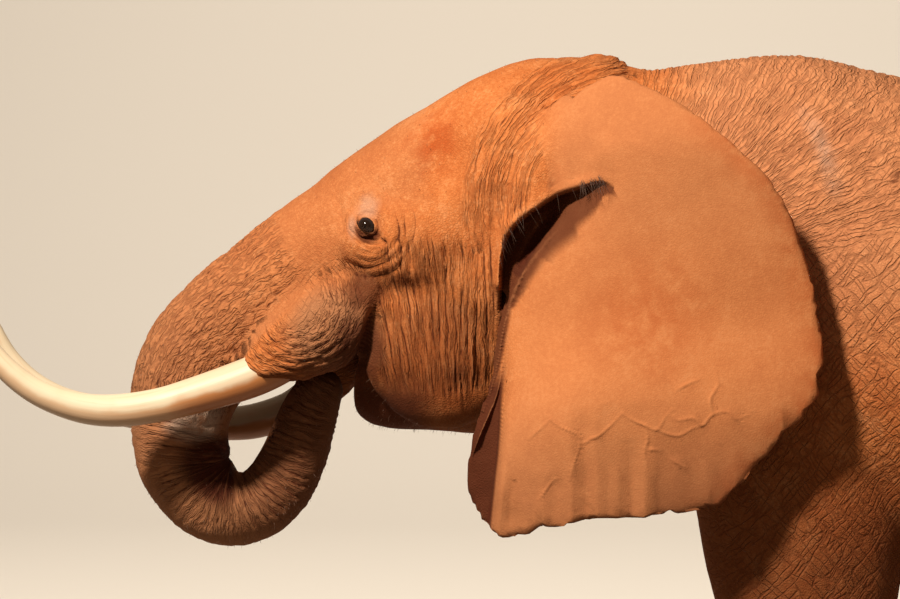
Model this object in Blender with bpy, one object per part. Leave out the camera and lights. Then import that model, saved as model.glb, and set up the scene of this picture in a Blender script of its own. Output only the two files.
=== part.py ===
"""A standing African savanna elephant at life size, its trunk curled round into its mouth.

The animal faces -X with its left side towards -Y, and stands on the floor at z = 0.
Lengths are metres. Until the last step x = 0 lies under the withers, the highest point
of the shoulders; the finished pieces are then moved so that x = 0 is the middle of the
whole length. The flesh is modelled as lofts, fused into one body and parted with thin cuts.
"""
import math

import bmesh
import bpy
import numpy as np
from mathutils import Matrix, Vector

# ---------------------------------------------------------------- driving dimensions
KERF = 0.0008           # width of the thin cuts between neighbouring pieces
FIT_GAP = 0.0004        # clearance round an eye, a tusk or a nail
CRUMB = 0.10            # loose bits smaller than this are left out
VOXEL = 0.015
SMOOTHING_ROUNDS = 40
FLESH_TRIANGLES = 2700
EYE_RADIUS = 0.030
EYE_CENTRE = (-1.338, 0.305, 2.476)
NAIL_SIZE = (0.044, 0.092, 0.098)       # thickness, width, height
NAIL_HEIGHT = 0.058
NAIL_LEAN = 14
NAIL_SQUARENESS = 0.72                  # 1 is an ellipsoid, and less is boxier

# Torso and neck: x, top, height of the widest level, bottom, half width, squareness.
TORSO = [
    (-0.98, 2.700, 2.34, 1.84, 0.220, 2.2),
    (-0.80, 2.860, 2.34, 1.79, 0.290, 2.2),
    (-0.62, 2.945, 2.32, 1.73, 0.330, 2.2),
    (-0.45, 2.958, 2.29, 1.66, 0.365, 2.2),
    (-0.25, 2.982, 2.24, 1.56, 0.420, 2.15),
    (-0.05, 3.003, 2.18, 1.43, 0.480, 2.1),
    (0.12, 2.982, 2.12, 1.36, 0.540, 2.1),
    (0.40, 2.908, 2.06, 1.32, 0.620, 2.1),
    (0.70, 2.855, 2.02, 1.28, 0.690, 2.1),
    (1.00, 2.838, 1.99, 1.24, 0.720, 2.1),
    (1.30, 2.860, 1.99, 1.22, 0.710, 2.1),
    (1.58, 2.875, 2.02, 1.27, 0.630, 2.1),
    (1.82, 2.805, 2.05, 1.42, 0.510, 2.05),
    (2.00, 2.660, 2.06, 1.60, 0.380, 2.0),
    (2.10, 2.500, 2.08, 1.76, 0.240, 2.0),
    (2.14, 2.380, 2.08, 1.86, 0.120, 2.0),
]
# Head from the neck to the root of the trunk, in the same form.
HEAD = [
    (-0.50, 2.93, 2.38, 1.80, 0.30, 2.2),
    (-0.60, 2.995, 2.42, 1.80, 0.36, 2.2),
    (-0.72, 2.998, 2.44, 1.86, 0.385, 2.2),
    (-0.86, 2.985, 2.45, 1.93, 0.385, 2.25),
    (-1.00, 2.935, 2.44, 1.97, 0.365, 2.3),
    (-1.14, 2.855, 2.42, 1.99, 0.335, 2.3),
    (-1.28, 2.772, 2.40, 2.03, 0.300, 2.3),
    (-1.42, 2.678, 2.36, 2.06, 0.268, 2.2),
    (-1.54, 2.578, 2.30, 2.10, 0.232, 2.1),
    (-1.62, 2.510, 2.26, 2.14, 0.200, 2.0),
]
# Lower jaw from the throat to the chin.
JAW = [
    (-0.85, 2.20, 2.02, 1.80, 0.22, 2.2),
    (-1.00, 2.20, 2.00, 1.800, 0.225, 2.2),
    (-1.14, 2.18, 1.98, 1.808, 0.200, 2.2),
    (-1.26, 2.14, 1.96, 1.810, 0.165, 2.2),
    (-1.34, 2.10, 1.95, 1.822, 0.125, 2.2),
    (-1.385, 2.04, 1.95, 1.850, 0.088, 2.2),
    (-1.405, 1.99, 1.935, 1.880, 0.055, 2.0),
]
# Trunk from its root, round the bend and up into the mouth: x, z, radius across, radius in plane.
TRUNK = [
    (-1.320, 2.430, 0.240, 0.240),
    (-1.445, 2.358, 0.236, 0.238),
    (-1.573, 2.284, 0.225, 0.228),
    (-1.676, 2.216, 0.215, 0.213),
    (-1.772, 2.148, 0.205, 0.204),
    (-1.850, 2.082, 0.196, 0.195),
    (-1.912, 2.010, 0.186, 0.186),
    (-1.950, 1.930, 0.175, 0.176),
    (-1.968, 1.845, 0.162, 0.160),
    (-1.980, 1.760, 0.147, 0.139),
    (-1.975, 1.685, 0.134, 0.124),
    (-1.938, 1.615, 0.124, 0.115),
    (-1.876, 1.560, 0.119, 0.112),
    (-1.796, 1.540, 0.115, 0.112),
    (-1.716, 1.562, 0.112, 0.112),
    (-1.656, 1.615, 0.109, 0.111),
    (-1.612, 1.690, 0.106, 0.107),
    (-1.580, 1.775, 0.101, 0.101),
    (-1.555, 1.850, 0.096, 0.094),
    (-1.530, 1.905, 0.088, 0.086),
    (-1.504, 1.948, 0.076, 0.072),
    (-1.486, 1.975, 0.058, 0.054),
    (-1.476, 1.990, 0.032, 0.030),
]
# The sheath round the root of each tusk: x, y, z, radius across, radius in plane.
SHEATH_LEFT = [
    (-1.300, 0.190, 2.250, 0.125, 0.150),
    (-1.400, 0.200, 2.200, 0.128, 0.150),
    (-1.500, 0.212, 2.140, 0.120, 0.135),
    (-1.590, 0.224, 2.078, 0.104, 0.112),
    (-1.668, 0.235, 2.022, 0.084, 0.088),
    (-1.705, 0.240, 2.000, 0.071, 0.073),
]
SHEATH_RIGHT = [
    (-1.300, 0.200, 2.245, 0.120, 0.145),
    (-1.380, 0.210, 2.165, 0.116, 0.132),
    (-1.450, 0.220, 2.070, 0.105, 0.118),
    (-1.520, 0.230, 1.970, 0.094, 0.110),
    (-1.583, 0.238, 1.896, 0.080, 0.088),
    (-1.612, 0.241, 1.868, 0.069, 0.072),
]
# Tusk centrelines: x, y, z, radius.
TUSK_LEFT = [
    (-1.520, 0.215, 2.110, 0.063),
    (-1.600, 0.226, 2.052, 0.064),
    (-1.675, 0.236, 2.012, 0.0645),
    (-1.753, 0.248, 1.982, 0.063),
    (-1.873, 0.268, 1.945, 0.0575),
    (-1.985, 0.288, 1.915, 0.053),
    (-2.100, 0.308, 1.899, 0.0515),
    (-2.205, 0.324, 1.903, 0.048),
    (-2.305, 0.336, 1.930, 0.043),
    (-2.395, 0.343, 1.976, 0.039),
    (-2.480, 0.345, 2.050, 0.0355),
    (-2.545, 0.341, 2.140, 0.031),
    (-2.585, 0.332, 2.240, 0.025),
    (-2.600, 0.320, 2.330, 0.017),
    (-2.600, 0.312, 2.385, 0.007),
]
TUSK_RIGHT = [
    (-1.470, 0.222, 1.985, 0.056),
    (-1.555, 0.234, 1.905, 0.058),
    (-1.638, 0.244, 1.842, 0.0585),
    (-1.745, 0.256, 1.803, 0.0575),
    (-1.840, 0.268, 1.790, 0.055),
    (-1.950, 0.280, 1.789, 0.052),
    (-2.060, 0.298, 1.798, 0.050),
    (-2.180, 0.315, 1.816, 0.047),
    (-2.300, 0.328, 1.832, 0.043),
    (-2.410, 0.337, 1.862, 0.039),
    (-2.505, 0.341, 1.918, 0.0345),
    (-2.580, 0.338, 2.000, 0.029),
    (-2.625, 0.330, 2.095, 0.021),
    (-2.640, 0.322, 2.165, 0.009),
]
# Legs: x, y, z, half width, half length. Rows run from inside the body down through the floor.
FORELEG = [
    (0.06, 0.23, 2.30, 0.170, 0.280),
    (0.02, 0.29, 2.02, 0.205, 0.340),
    (0.01, 0.34, 1.72, 0.215, 0.345),
    (0.02, 0.36, 1.45, 0.205, 0.305),
    (0.04, 0.36, 1.22, 0.185, 0.255),
    (0.05, 0.35, 1.00, 0.165, 0.205),
    (0.045, 0.345, 0.80, 0.152, 0.178),
    (0.035, 0.342, 0.60, 0.148, 0.168),
    (0.035, 0.342, 0.40, 0.146, 0.162),
    (0.030, 0.342, 0.24, 0.162, 0.178),
    (0.020, 0.344, 0.11, 0.196, 0.212),
    (0.015, 0.344, 0.03, 0.214, 0.234),
    (0.015, 0.344, -0.05, 0.214, 0.234),
]
HINDLEG = [
    (1.58, 0.26, 2.40, 0.200, 0.360),
    (1.63, 0.31, 2.05, 0.235, 0.450),
    (1.62, 0.335, 1.75, 0.245, 0.420),
    (1.585, 0.335, 1.45, 0.230, 0.360),
    (1.56, 0.330, 1.18, 0.198, 0.282),
    (1.57, 0.322, 0.96, 0.168, 0.215),
    (1.61, 0.315, 0.76, 0.146, 0.172),
    (1.64, 0.310, 0.58, 0.136, 0.154),
    (1.635, 0.308, 0.40, 0.134, 0.148),
    (1.620, 0.308, 0.24, 0.146, 0.160),
    (1.600, 0.308, 0.11, 0.172, 0.192),
    (1.595, 0.308, 0.03, 0.186, 0.212),
    (1.595, 0.308, -0.05, 0.186, 0.212),
]
# How far each foot is set ahead of (-) or behind (+) the plain leg.
STRIDE = {"front_left": -0.02, "front_right": 0.10, "hind_left": 0.07, "hind_right": -0.09}
# Tail: x, y, z, half width, half length.
TAIL = [
    (2.02, 0.0, 2.500, 0.085, 0.085),
    (2.13, 0.0, 2.410, 0.070, 0.070),
    (2.205, 0.0, 2.270, 0.055, 0.055),
    (2.235, 0.0, 2.080, 0.043, 0.043),
    (2.240, 0.005, 1.850, 0.035, 0.035),
    (2.232, 0.012, 1.600, 0.029, 0.029),
    (2.220, 0.020, 1.350, 0.025, 0.025),
    (2.210, 0.026, 1.120, 0.022, 0.022),
    (2.205, 0.030, 0.960, 0.020, 0.020),
]
TUFT = [
    (2.2055, 0.030, 0.990, 0.020, 0.022),
    (2.205, 0.030, 0.930, 0.026, 0.038),
    (2.200, 0.032, 0.820, 0.032, 0.060),
    (2.195, 0.034, 0.700, 0.032, 0.066),
    (2.190, 0.036, 0.580, 0.026, 0.052),
    (2.188, 0.038, 0.480, 0.012, 0.024),
]
# Ear outline, seen from the side: x, z, starting at the top of the root and going back and down.
EAR_OUTLINE = [
    (-0.680, 2.900), (-0.590, 2.948), (-0.480, 2.915), (-0.330, 2.832), (-0.185, 2.712),
    (-0.075, 2.590), (-0.010, 2.430), (0.030, 2.270), (0.052, 2.110), (0.030, 1.990),
    (-0.060, 1.885), (-0.170, 1.765), (-0.250, 1.680), (-0.400, 1.640), (-0.600, 1.626),
    (-0.770, 1.592), (-0.900, 1.552), (-0.985, 1.598), (-1.028, 1.690), (-1.008, 1.840),
    (-0.965, 1.990), (-0.935, 2.160), (-0.895, 2.320), (-0.840, 2.480), (-0.800, 2.640),
    (-0.760, 2.790),
]
EAR_CENTRE = (-0.47, 2.25)
# The thick root along which the ear joins the head: x, y, z, radius across, radius in plane.
EAR_ROOT = [
    (-0.640, 0.270, 2.890, 0.040, 0.050),
    (-0.695, 0.335, 2.805, 0.075, 0.090),
    (-0.755, 0.375, 2.690, 0.085, 0.105),
    (-0.815, 0.385, 2.550, 0.078, 0.095),
    (-0.860, 0.390, 2.410, 0.066, 0.080),
    (-0.890, 0.395, 2.280, 0.050, 0.060),
]
EAR_THICKNESS = 0.030

# Places pushed in or out, on both sides: x, y, z, reach, push along x, outwards, up.
DABS = [
    (-1.10, 0.33, 2.70, 0.17, 0.0, -0.030, -0.010),
    (-1.338, 0.29, 2.476, 0.075, 0.0, -0.012, 0.0),
    (-1.36, 0.27, 2.57, 0.09, 0.0, 0.016, 0.0),
    (-0.86, 0.40, 2.42, 0.10, 0.0, -0.03, 0.0),
    (-1.30, 0.26, 2.18, 0.08, 0.0, -0.020, 0.0),
]
# Thin cuts that part the flesh: centre, facing, half width across, half length along.
CUTS = [
    ((-0.80, -0.42, 2.27), (0, 1, 0), 0.36, 0.80),
    ((-0.80, 0.42, 2.27), (0, 1, 0), 0.36, 0.80),
    ((-0.655, 0.0, 2.40), (0.945, 0, -0.327), 0.4203, 0.80),
    ((-0.33, 0.0, 2.25), (1, 0, 0), 0.47, 0.85),
    ((-1.4677, 0.0, 2.388), (-0.87, 0, -0.49), 0.45, 0.4803),
    ((-1.93, 0.0, 1.985), (-0.50, 0, -0.87), 0.24, 0.215),
    ((-1.985, 0.0, 1.70), (0.02, 0, -1.0), 0.20, 0.19),
    ((-1.72, 0.0, 1.56), (0.95, 0, 0.30), 0.18, 0.17),
    ((-1.01, 0.0, 1.9568), (0.06, 0, 1), 0.4203, 0.36),
    ((-1.38, 0.0, 1.979), (0.06, 0, 1), 0.135, 0.12),
    ((0.46, 0.0, 2.10), (1, 0, 0), 0.85, 1.00),
    ((1.17, 0.0, 2.10), (1, 0, 0), 0.85, 1.00),
    ((2.25, 0.0, 2.13), (0, 0, 1), 0.10, 0.085),
]
# Heights of the level cuts through each foreleg and each hind leg.
FORELEG_CUTS = (1.27, 0.76, 0.27)
HINDLEG_CUTS = (1.13, 0.64, 0.25)

# The middle of each piece of flesh, by which the parted bodies get their names.
MIDDLES = {
    "head": (-0.95, 0.0, 2.48),
    "muzzle": (-1.60, 0.0, 2.10),
    "jaw": (-1.10, 0.0, 1.90),
    "trunk_fall": (-1.95, 0.0, 1.83),
    "trunk_bend": (-1.87, 0.0, 1.58),
    "trunk_rise": (-1.60, 0.0, 1.78),
    "ear_left": (-0.50, -0.55, 2.25),
    "ear_right": (-0.50, 0.55, 2.25),
    "neck": (-0.53, 0.0, 2.27),
    "chest": (0.10, 0.0, 2.10),
    "barrel": (0.81, 0.0, 2.05),
    "rump": (1.70, 0.0, 2.00),
    "tail": (2.23, 0.0, 1.55),
    "upper_leg_front_left": (0.03, -0.35, 1.02),
    "lower_leg_front_left": (0.03, -0.35, 0.51),
    "foot_front_left": (0.00, -0.35, 0.13),
    "upper_leg_front_right": (0.09, 0.35, 1.02),
    "lower_leg_front_right": (0.12, 0.35, 0.51),
    "foot_front_right": (0.12, 0.35, 0.13),
    "upper_leg_hind_left": (1.62, -0.32, 0.89),
    "lower_leg_hind_left": (1.68, -0.31, 0.44),
    "foot_hind_left": (1.66, -0.31, 0.12),
    "upper_leg_hind_right": (1.52, 0.32, 0.89),
    "lower_leg_hind_right": (1.54, 0.31, 0.44),
    "foot_hind_right": (1.50, 0.31, 0.12),
}

SKIN = (0.50, 0.22, 0.095)
IVORY = (0.83, 0.72, 0.50)
HORN = (0.32, 0.22, 0.15)
CORNEA = (0.03, 0.018, 0.012)
HAIR = (0.04, 0.028, 0.02)


# ---------------------------------------------------------------- shape tools
def smooth_rows(rows, steps):
    """Rows on a smooth curve through the given rows, with that many steps between two rows."""
    rows = np.asarray(rows, float)
    ends = np.vstack([2 * rows[0] - rows[1], rows, 2 * rows[-1] - rows[-2]])
    made = []
    for a, b, c, d in zip(ends, ends[1:], ends[2:], ends[3:]):
        for t in np.arange(steps) / steps:
            made.append(0.5 * (2 * b + (c - a) * t + (2 * a - 5 * b + 4 * c - d) * t * t
                               + (3 * b - a - 3 * c + d) * t ** 3))
    made.append(rows[-1])
    return np.array(made)


def signed_power(value, power):
    return math.copysign(abs(value) ** power, value)


def placed(name, work):
    """Turns the work mesh into an object of that name."""
    mesh = bpy.data.meshes.new(name)
    work.to_mesh(mesh)
    work.free()
    made = bpy.data.objects.new(name, mesh)
    bpy.context.collection.objects.link(made)
    return made


def loft(name, rings):
    """A closed mesh object whose skin runs through the rings, with flat ends."""
    work = bmesh.new()
    loops = [[work.verts.new(point) for point in ring] for ring in rings]
    for first, second in zip(loops, loops[1:]):
        for i in range(len(first)):
            j = (i + 1) % len(first)
            work.faces.new((first[i], first[j], second[j], second[i]))
    work.faces.new(loops[0][::-1])
    work.faces.new(loops[-1])
    bmesh.ops.recalc_face_normals(work, faces=work.faces)
    return placed(name, work)


def trunk_line(rows):
    """Rows of x, z, across, in-plane turned into rows of x, y, z, across, in-plane."""
    return [(x, 0.0, z, across, in_plane) for x, z, across, in_plane in rows]


def tube(name, rows, sides=24, steps=3, grow=0.0):
    """A tube along rows of x, y, z, half width across the body, half length in the plane.

    It is larger by grow all round and at both ends.
    """
    line = smooth_rows(rows, steps)
    tangents = np.gradient(line[:, :3], axis=0)
    for end, sign in ((0, -1), (-1, 1)):
        line[end, :3] += sign * grow * tangents[end] / np.linalg.norm(tangents[end])
    rings = []
    for row, tangent in zip(line, tangents):
        along = Vector(tangent).normalized()
        across = Vector((0, 1, 0))
        across = (across - along * across.dot(along)).normalized()
        normal = along.cross(across)
        ring = []
        for k in range(sides):
            turn = 2 * math.pi * k / sides
            ring.append(Vector(row[:3]) + across * (row[3] + grow) * math.cos(turn)
                        + normal * (row[4] + grow) * math.sin(turn))
        rings.append(ring)
    return loft(name, rings)


def barrel(name, rows, sides=32, steps=3):
    """A loft through upright sections of x, top, widest level, bottom, half width, squareness."""
    rings = []
    for x, top, level, bottom, half, square in smooth_rows(rows, steps):
        ring = []
        for k in range(sides):
            turn = 2 * math.pi * k / sides
            y = half * signed_power(math.cos(turn), 2 / square)
            rise = top - level if math.sin(turn) > 0 else level - bottom
            z = level + rise * signed_power(math.sin(turn), 2 / square)
            ring.append((x, y, z))
        rings.append(ring)
    return loft(name, rings)


def on_side(rows, side):
    """Rows of x, y, z, across and in-plane with y put on that side (-1 left, +1 right)."""
    return [(x, side * y, z, across, in_plane) for x, y, z, across, in_plane in rows]


def blob(name, centre, radii, rows=10, sides=16):
    """An ellipsoid object."""
    work = bmesh.new()
    bmesh.ops.create_uvsphere(work, u_segments=sides, v_segments=rows, radius=1.0)
    bmesh.ops.transform(work, matrix=Matrix.Diagonal((*radii, 1.0)), verts=work.verts)
    bmesh.ops.translate(work, vec=centre, verts=work.verts)
    return placed(name, work)


def ease(value):
    """0 below 0, 1 above 1, and smooth between."""
    t = min(1.0, max(0.0, value))
    return t * t * (3 - 2 * t)


# ---------------------------------------------------------------- ears
def ear_depth(x, z):
    """How far the ear's sheet stands from the middle of the body at that place."""
    low = ease((2.35 - z) / 0.45)
    root = 0.30 + 0.10 * ease((2.96 - z) / 0.25) + 0.05 * ease((2.25 - z) / 0.35)
    lead = -0.80 - 0.12 * ease((2.64 - z) / 0.45) - 0.10 * ease((2.05 - z) / 0.35)
    behind = max(0.0, x - lead)
    turn = 0.24 - 0.13 * low
    stand = (0.235 + 0.015 * low) * (1 - math.exp(-behind / turn))
    sway = 0.008 * math.sin(14 * x + 3 * z) * ease((2.2 - z) / 0.5)
    return root + stand + sway


def ear(name, side, thickness, outline_steps=2, rings=7):
    """A hanging sheet of even thickness, star-shaped round its centre."""
    closed = EAR_OUTLINE + EAR_OUTLINE[:3]
    outline = smooth_rows(closed, outline_steps)[outline_steps:-2 * outline_steps]
    work = bmesh.new()
    sheets = []
    for offset in (-thickness / 2, thickness / 2):
        centre_x, centre_z = EAR_CENTRE
        hub = work.verts.new((centre_x, side * (ear_depth(centre_x, centre_z) + offset), centre_z))
        loops = []
        for k in range(1, rings + 1):
            share = k / rings
            loop = []
            for x, z in outline:
                px = centre_x + (x - centre_x) * share
                pz = centre_z + (z - centre_z) * share
                loop.append(work.verts.new((px, side * (ear_depth(px, pz) + offset), pz)))
            loops.append(loop)
        count = len(outline)
        for i in range(count):
            j = (i + 1) % count
            work.faces.new((hub, loops[0][i], loops[0][j]))
            for inner, outer in zip(loops, loops[1:]):
                work.faces.new((inner[i], outer[i], outer[j], inner[j]))
        sheets.append(loops[-1])
    for i in range(len(sheets[0])):
        j = (i + 1) % len(sheets[0])
        work.faces.new((sheets[0][i], sheets[0][j], sheets[1][j], sheets[1][i]))
    bmesh.ops.recalc_face_normals(work, faces=work.faces)
    return placed(name, work)


# ---------------------------------------------------------------- the fused body
def leg_rows(rows, side, stride):
    """Leg rows on that side, with the foot set ahead or behind and the hip left in place."""
    top = rows[0][2]
    return [(x + stride * (1 - ease(z / top)), side * y, z, across, along)
            for x, y, z, across, along in rows]


def flesh_lofts():
    """Every overlapping loft that the body is fused from."""
    made = [
        barrel("torso_loft", TORSO),
        barrel("head_loft", HEAD),
        barrel("jaw_loft", JAW),
        tube("trunk_loft", trunk_line(TRUNK), sides=28),
        tube("tail_loft", TAIL, sides=14),
        blob("nape", (-0.635, 0.0, 2.72), (0.20, 0.26, 0.288)),
    ]
    for side, word, sheath in ((-1, "left", SHEATH_LEFT), (1, "right", SHEATH_RIGHT)):
        made.append(tube("sheath_" + word, on_side(sheath, side)))
        made.append(tube("foreleg_" + word, leg_rows(FORELEG, side, STRIDE["front_" + word])))
        made.append(tube("hindleg_" + word, leg_rows(HINDLEG, side, STRIDE["hind_" + word])))
        made.append(ear("ear_sheet_" + word, side, EAR_THICKNESS))
        made.append(tube("ear_root_" + word, on_side(EAR_ROOT, side), sides=16))
        made.append(blob("cheek_" + word, (-1.12, side * 0.20, 2.13), (0.26, 0.135, 0.30)))
        made.append(blob("cheekbone_" + word, (-1.16, side * 0.26, 2.42), (0.28, 0.105, 0.16)))
        made.append(blob("temple_" + word, (-0.86, side * 0.25, 2.56), (0.24, 0.15, 0.33)))
        made.append(blob("haunch_" + word, (1.56, side * 0.33, 2.20), (0.40, 0.22, 0.50)))
        made.append(blob("blade_" + word, (0.08, side * 0.30, 2.25), (0.30, 0.20, 0.52)))
    return made


def mesh_of(obj):
    """The object's mesh as its modifiers leave it."""
    graph = bpy.context.evaluated_depsgraph_get()
    return bpy.data.meshes.new_from_object(obj.evaluated_get(graph))


def settle(obj):
    """Puts what the object's modifiers make into its own mesh."""
    mesh = mesh_of(obj)
    obj.modifiers.clear()
    obj.data = mesh


def joined(name, objects):
    """One object that holds the meshes of all of these, which are removed."""
    work = bmesh.new()
    for obj in objects:
        work.from_mesh(obj.data)
        bpy.data.objects.remove(obj)
    return placed(name, work)


def points_of(mesh):
    points = np.empty(len(mesh.vertices) * 3, np.float32)
    mesh.vertices.foreach_get("co", points)
    return points.reshape(-1, 3).astype(float)


def even_out(obj, rounds):
    """Rounds off creases without thinning the body; the tail and the ears change little."""
    mesh = obj.data
    points = points_of(mesh)
    edges = np.empty(len(mesh.edges) * 2, np.int32)
    mesh.edges.foreach_get("vertices", edges)
    first, second = edges.reshape(-1, 2).T
    count = len(points)
    shares = np.bincount(first, minlength=count) + np.bincount(second, minlength=count)
    slight = (points[:, 0] > 2.19) | (np.abs(points[:, 1]) > 0.50) & (points[:, 0] < 0.07)
    slight |= (points[:, 0] < -1.60) & (points[:, 2] < 2.0)
    strength = np.where(slight, 0.3, 1.0)[:, None]
    for step in (0.5, -0.52) * rounds:
        sums = np.stack([np.bincount(first, points[second, k], count)
                         + np.bincount(second, points[first, k], count) for k in range(3)], 1)
        points += step * strength * (sums / shares[:, None] - points)
    mesh.vertices.foreach_set("co", points.astype(np.float32).ravel())


def dab(obj):
    """Pushes the skin in or out round each place in DABS, on both sides."""
    points = points_of(obj.data)
    for x, y, z, reach, push_x, push_y, push_z in DABS:
        for side in (-1, 1):
            away = points - np.array((x, side * y, z))
            near = np.clip(1 - (away ** 2).sum(axis=1) / reach ** 2, 0, 1) ** 2
            points += near[:, None] * np.array((push_x, side * push_y, push_z))
    obj.data.vertices.foreach_set("co", points.astype(np.float32).ravel())


def flat_soles(obj):
    """Cuts the feet off level with the floor."""
    work = bmesh.new()
    work.from_mesh(obj.data)
    everything = work.verts[:] + work.edges[:] + work.faces[:]
    cut = bmesh.ops.bisect_plane(work, geom=everything, plane_co=(0, 0, 0),
                                 plane_no=(0, 0, 1), clear_inner=True)["geom_cut"]
    rim = [item for item in cut if isinstance(item, bmesh.types.BMEdge)]
    bmesh.ops.holes_fill(work, edges=rim, sides=0)
    bmesh.ops.triangulate(work, faces=work.faces)
    work.to_mesh(obj.data)
    work.free()


def fused_body():
    """The whole animal's flesh as one closed mesh, light enough to part."""
    body = joined("flesh", flesh_lofts())
    remesh = body.modifiers.new("fuse", "REMESH")
    remesh.mode = "VOXEL"
    remesh.voxel_size = VOXEL
    settle(body)
    even_out(body, SMOOTHING_ROUNDS)
    dab(body)
    thin = body.modifiers.new("lighten", "DECIMATE")
    thin.ratio = FLESH_TRIANGLES / (2 * len(body.data.polygons))
    thin.use_collapse_triangulate = True
    settle(body)
    flat_soles(body)
    return body


# ---------------------------------------------------------------- parting the body
def slab(centre, facing, half_a, half_b):
    """A KERF-thick box facing that way; half_a runs level across it and half_b along it."""
    facing = Vector(facing).normalized()
    across = Vector((0, 0, 1)).cross(facing) if abs(facing.z) < 0.99 else Vector((0, 1, 0))
    across.normalize()
    frame = Matrix((across, facing.cross(across), facing)).transposed().to_4x4()
    work = bmesh.new()
    bmesh.ops.create_cube(work, size=2.0)
    bmesh.ops.transform(work, matrix=Matrix.Diagonal((half_a, half_b, KERF / 2, 1)), verts=work.verts)
    bmesh.ops.transform(work, matrix=Matrix.Translation(centre) @ frame, verts=work.verts)
    return placed("slab", work)


def boolean(obj, cutter, operation="DIFFERENCE"):
    """Combines the object with the cutter, and removes the cutter."""
    made = obj.modifiers.new("combine", "BOOLEAN")
    made.operation = operation
    made.solver = "EXACT"
    made.object = cutter
    settle(obj)
    bpy.data.objects.remove(cutter)


def islands(obj):
    """The separate closed bodies of the mesh, each as points and faces."""
    mesh = obj.data
    points = points_of(mesh)
    faces = [tuple(face.vertices) for face in mesh.polygons]
    label = np.arange(len(points))
    edges = np.array([edge.vertices for edge in mesh.edges])
    while True:
        low = np.minimum(label[edges[:, 0]], label[edges[:, 1]])
        before = label.copy()
        np.minimum.at(label, edges[:, 0], low)
        np.minimum.at(label, edges[:, 1], low)
        label = label[label]
        if (label == before).all():
            break
    found = {}
    for face in faces:
        found.setdefault(label[face[0]], []).append(face)
    bodies = []
    for body_faces in found.values():
        used = sorted({corner for face in body_faces for corner in face})
        index = {old: new for new, old in enumerate(used)}
        bodies.append((points[used], [[index[k] for k in face] for face in body_faces]))
    return bodies


# ---------------------------------------------------------------- eyes, tusks and nails
def ball(name, centre, radius):
    return blob(name, centre, (radius, radius, radius), rows=8, sides=12)


def nail_places():
    """Name, centre and turn about Z of every nail, round the front of each foot."""
    places = []
    for pair, rows, spread in (("front", FORELEG, (-62, -22, 20, 58)),
                               ("hind", HINDLEG, (-48, -5, 38))):
        x, y, _, across, along = rows[-3]
        for side, word in ((-1, "left"), (1, "right")):
            shift = STRIDE[pair + "_" + word] * (1 - ease(NAIL_HEIGHT / rows[0][2]))
            for number, degrees in enumerate(spread, 1):
                turn = math.radians(degrees)
                reach_x = x + shift - (along + 0.008) * math.cos(turn)
                reach_y = side * y + side * (across + 0.008) * math.sin(turn)
                name = f"nail_{pair}_{word}_{number}"
                places.append((name, (reach_x, reach_y, NAIL_HEIGHT), -side * turn))
    return places


def nail(name, centre, turn, grow=0.0):
    """A rounded, flattened nail standing on the rim of the sole."""
    work = bmesh.new()
    bmesh.ops.create_uvsphere(work, u_segments=8, v_segments=5, radius=1.0)
    for corner in work.verts:
        corner.co = [signed_power(part, NAIL_SQUARENESS) for part in corner.co]
    half_thick, half_wide, half_tall = (size / 2 + grow for size in NAIL_SIZE)
    lean = Matrix.Rotation(math.radians(-NAIL_LEAN), 4, "Y")
    place = Matrix.Translation(centre) @ Matrix.Rotation(turn, 4, "Z") @ lean
    size = Matrix.Diagonal((half_thick, half_wide, half_tall, 1))
    bmesh.ops.transform(work, matrix=place @ size, verts=work.verts)
    return placed(name, work)


def finish(obj, material, smooth_below=50):
    """Gives the object its material and round-looking faces, keeping corners sharp."""
    obj.data.materials.clear()
    obj.data.materials.append(material)
    obj.data.shade_smooth()
    obj.data.set_sharp_from_angle(angle=math.radians(smooth_below))


def material(name, colour, roughness):
    made = bpy.data.materials.new(name)
    made.use_nodes = True
    shader = made.node_tree.nodes["Principled BSDF"]
    shader.inputs["Base Color"].default_value = (*colour, 1)
    shader.inputs["Roughness"].default_value = roughness
    return made


# ---------------------------------------------------------------- assembly
def parted_flesh():
    """Every piece of flesh by name, after the thin cuts."""
    body = fused_body()
    for centre, facing, half_a, half_b in CUTS:
        boolean(body, slab(centre, facing, half_a, half_b))
    for pair, rows, heights in (("front", FORELEG, FORELEG_CUTS), ("hind", HINDLEG, HINDLEG_CUTS)):
        for side, word in ((-1, "left"), (1, "right")):
            for z in heights:
                x = rows[4][0] + 0.6 * STRIDE[pair + "_" + word]
                boolean(body, slab((x, side * 0.34, z), (0, 0, 1), 0.335, 0.40))
    pieces = {}
    for points, faces in islands(body):
        if np.ptp(points, axis=0).max() < CRUMB:
            continue
        middle = Vector((points.min(axis=0) + points.max(axis=0)) / 2)
        name = min(MIDDLES, key=lambda word: (Vector(MIDDLES[word]) - middle).length)
        work = bmesh.new()
        corners = [work.verts.new(point) for point in points]
        for face in faces:
            work.faces.new([corners[k] for k in face])
        pieces[name] = placed(name, work)
    bpy.data.objects.remove(body)
    return pieces


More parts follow.
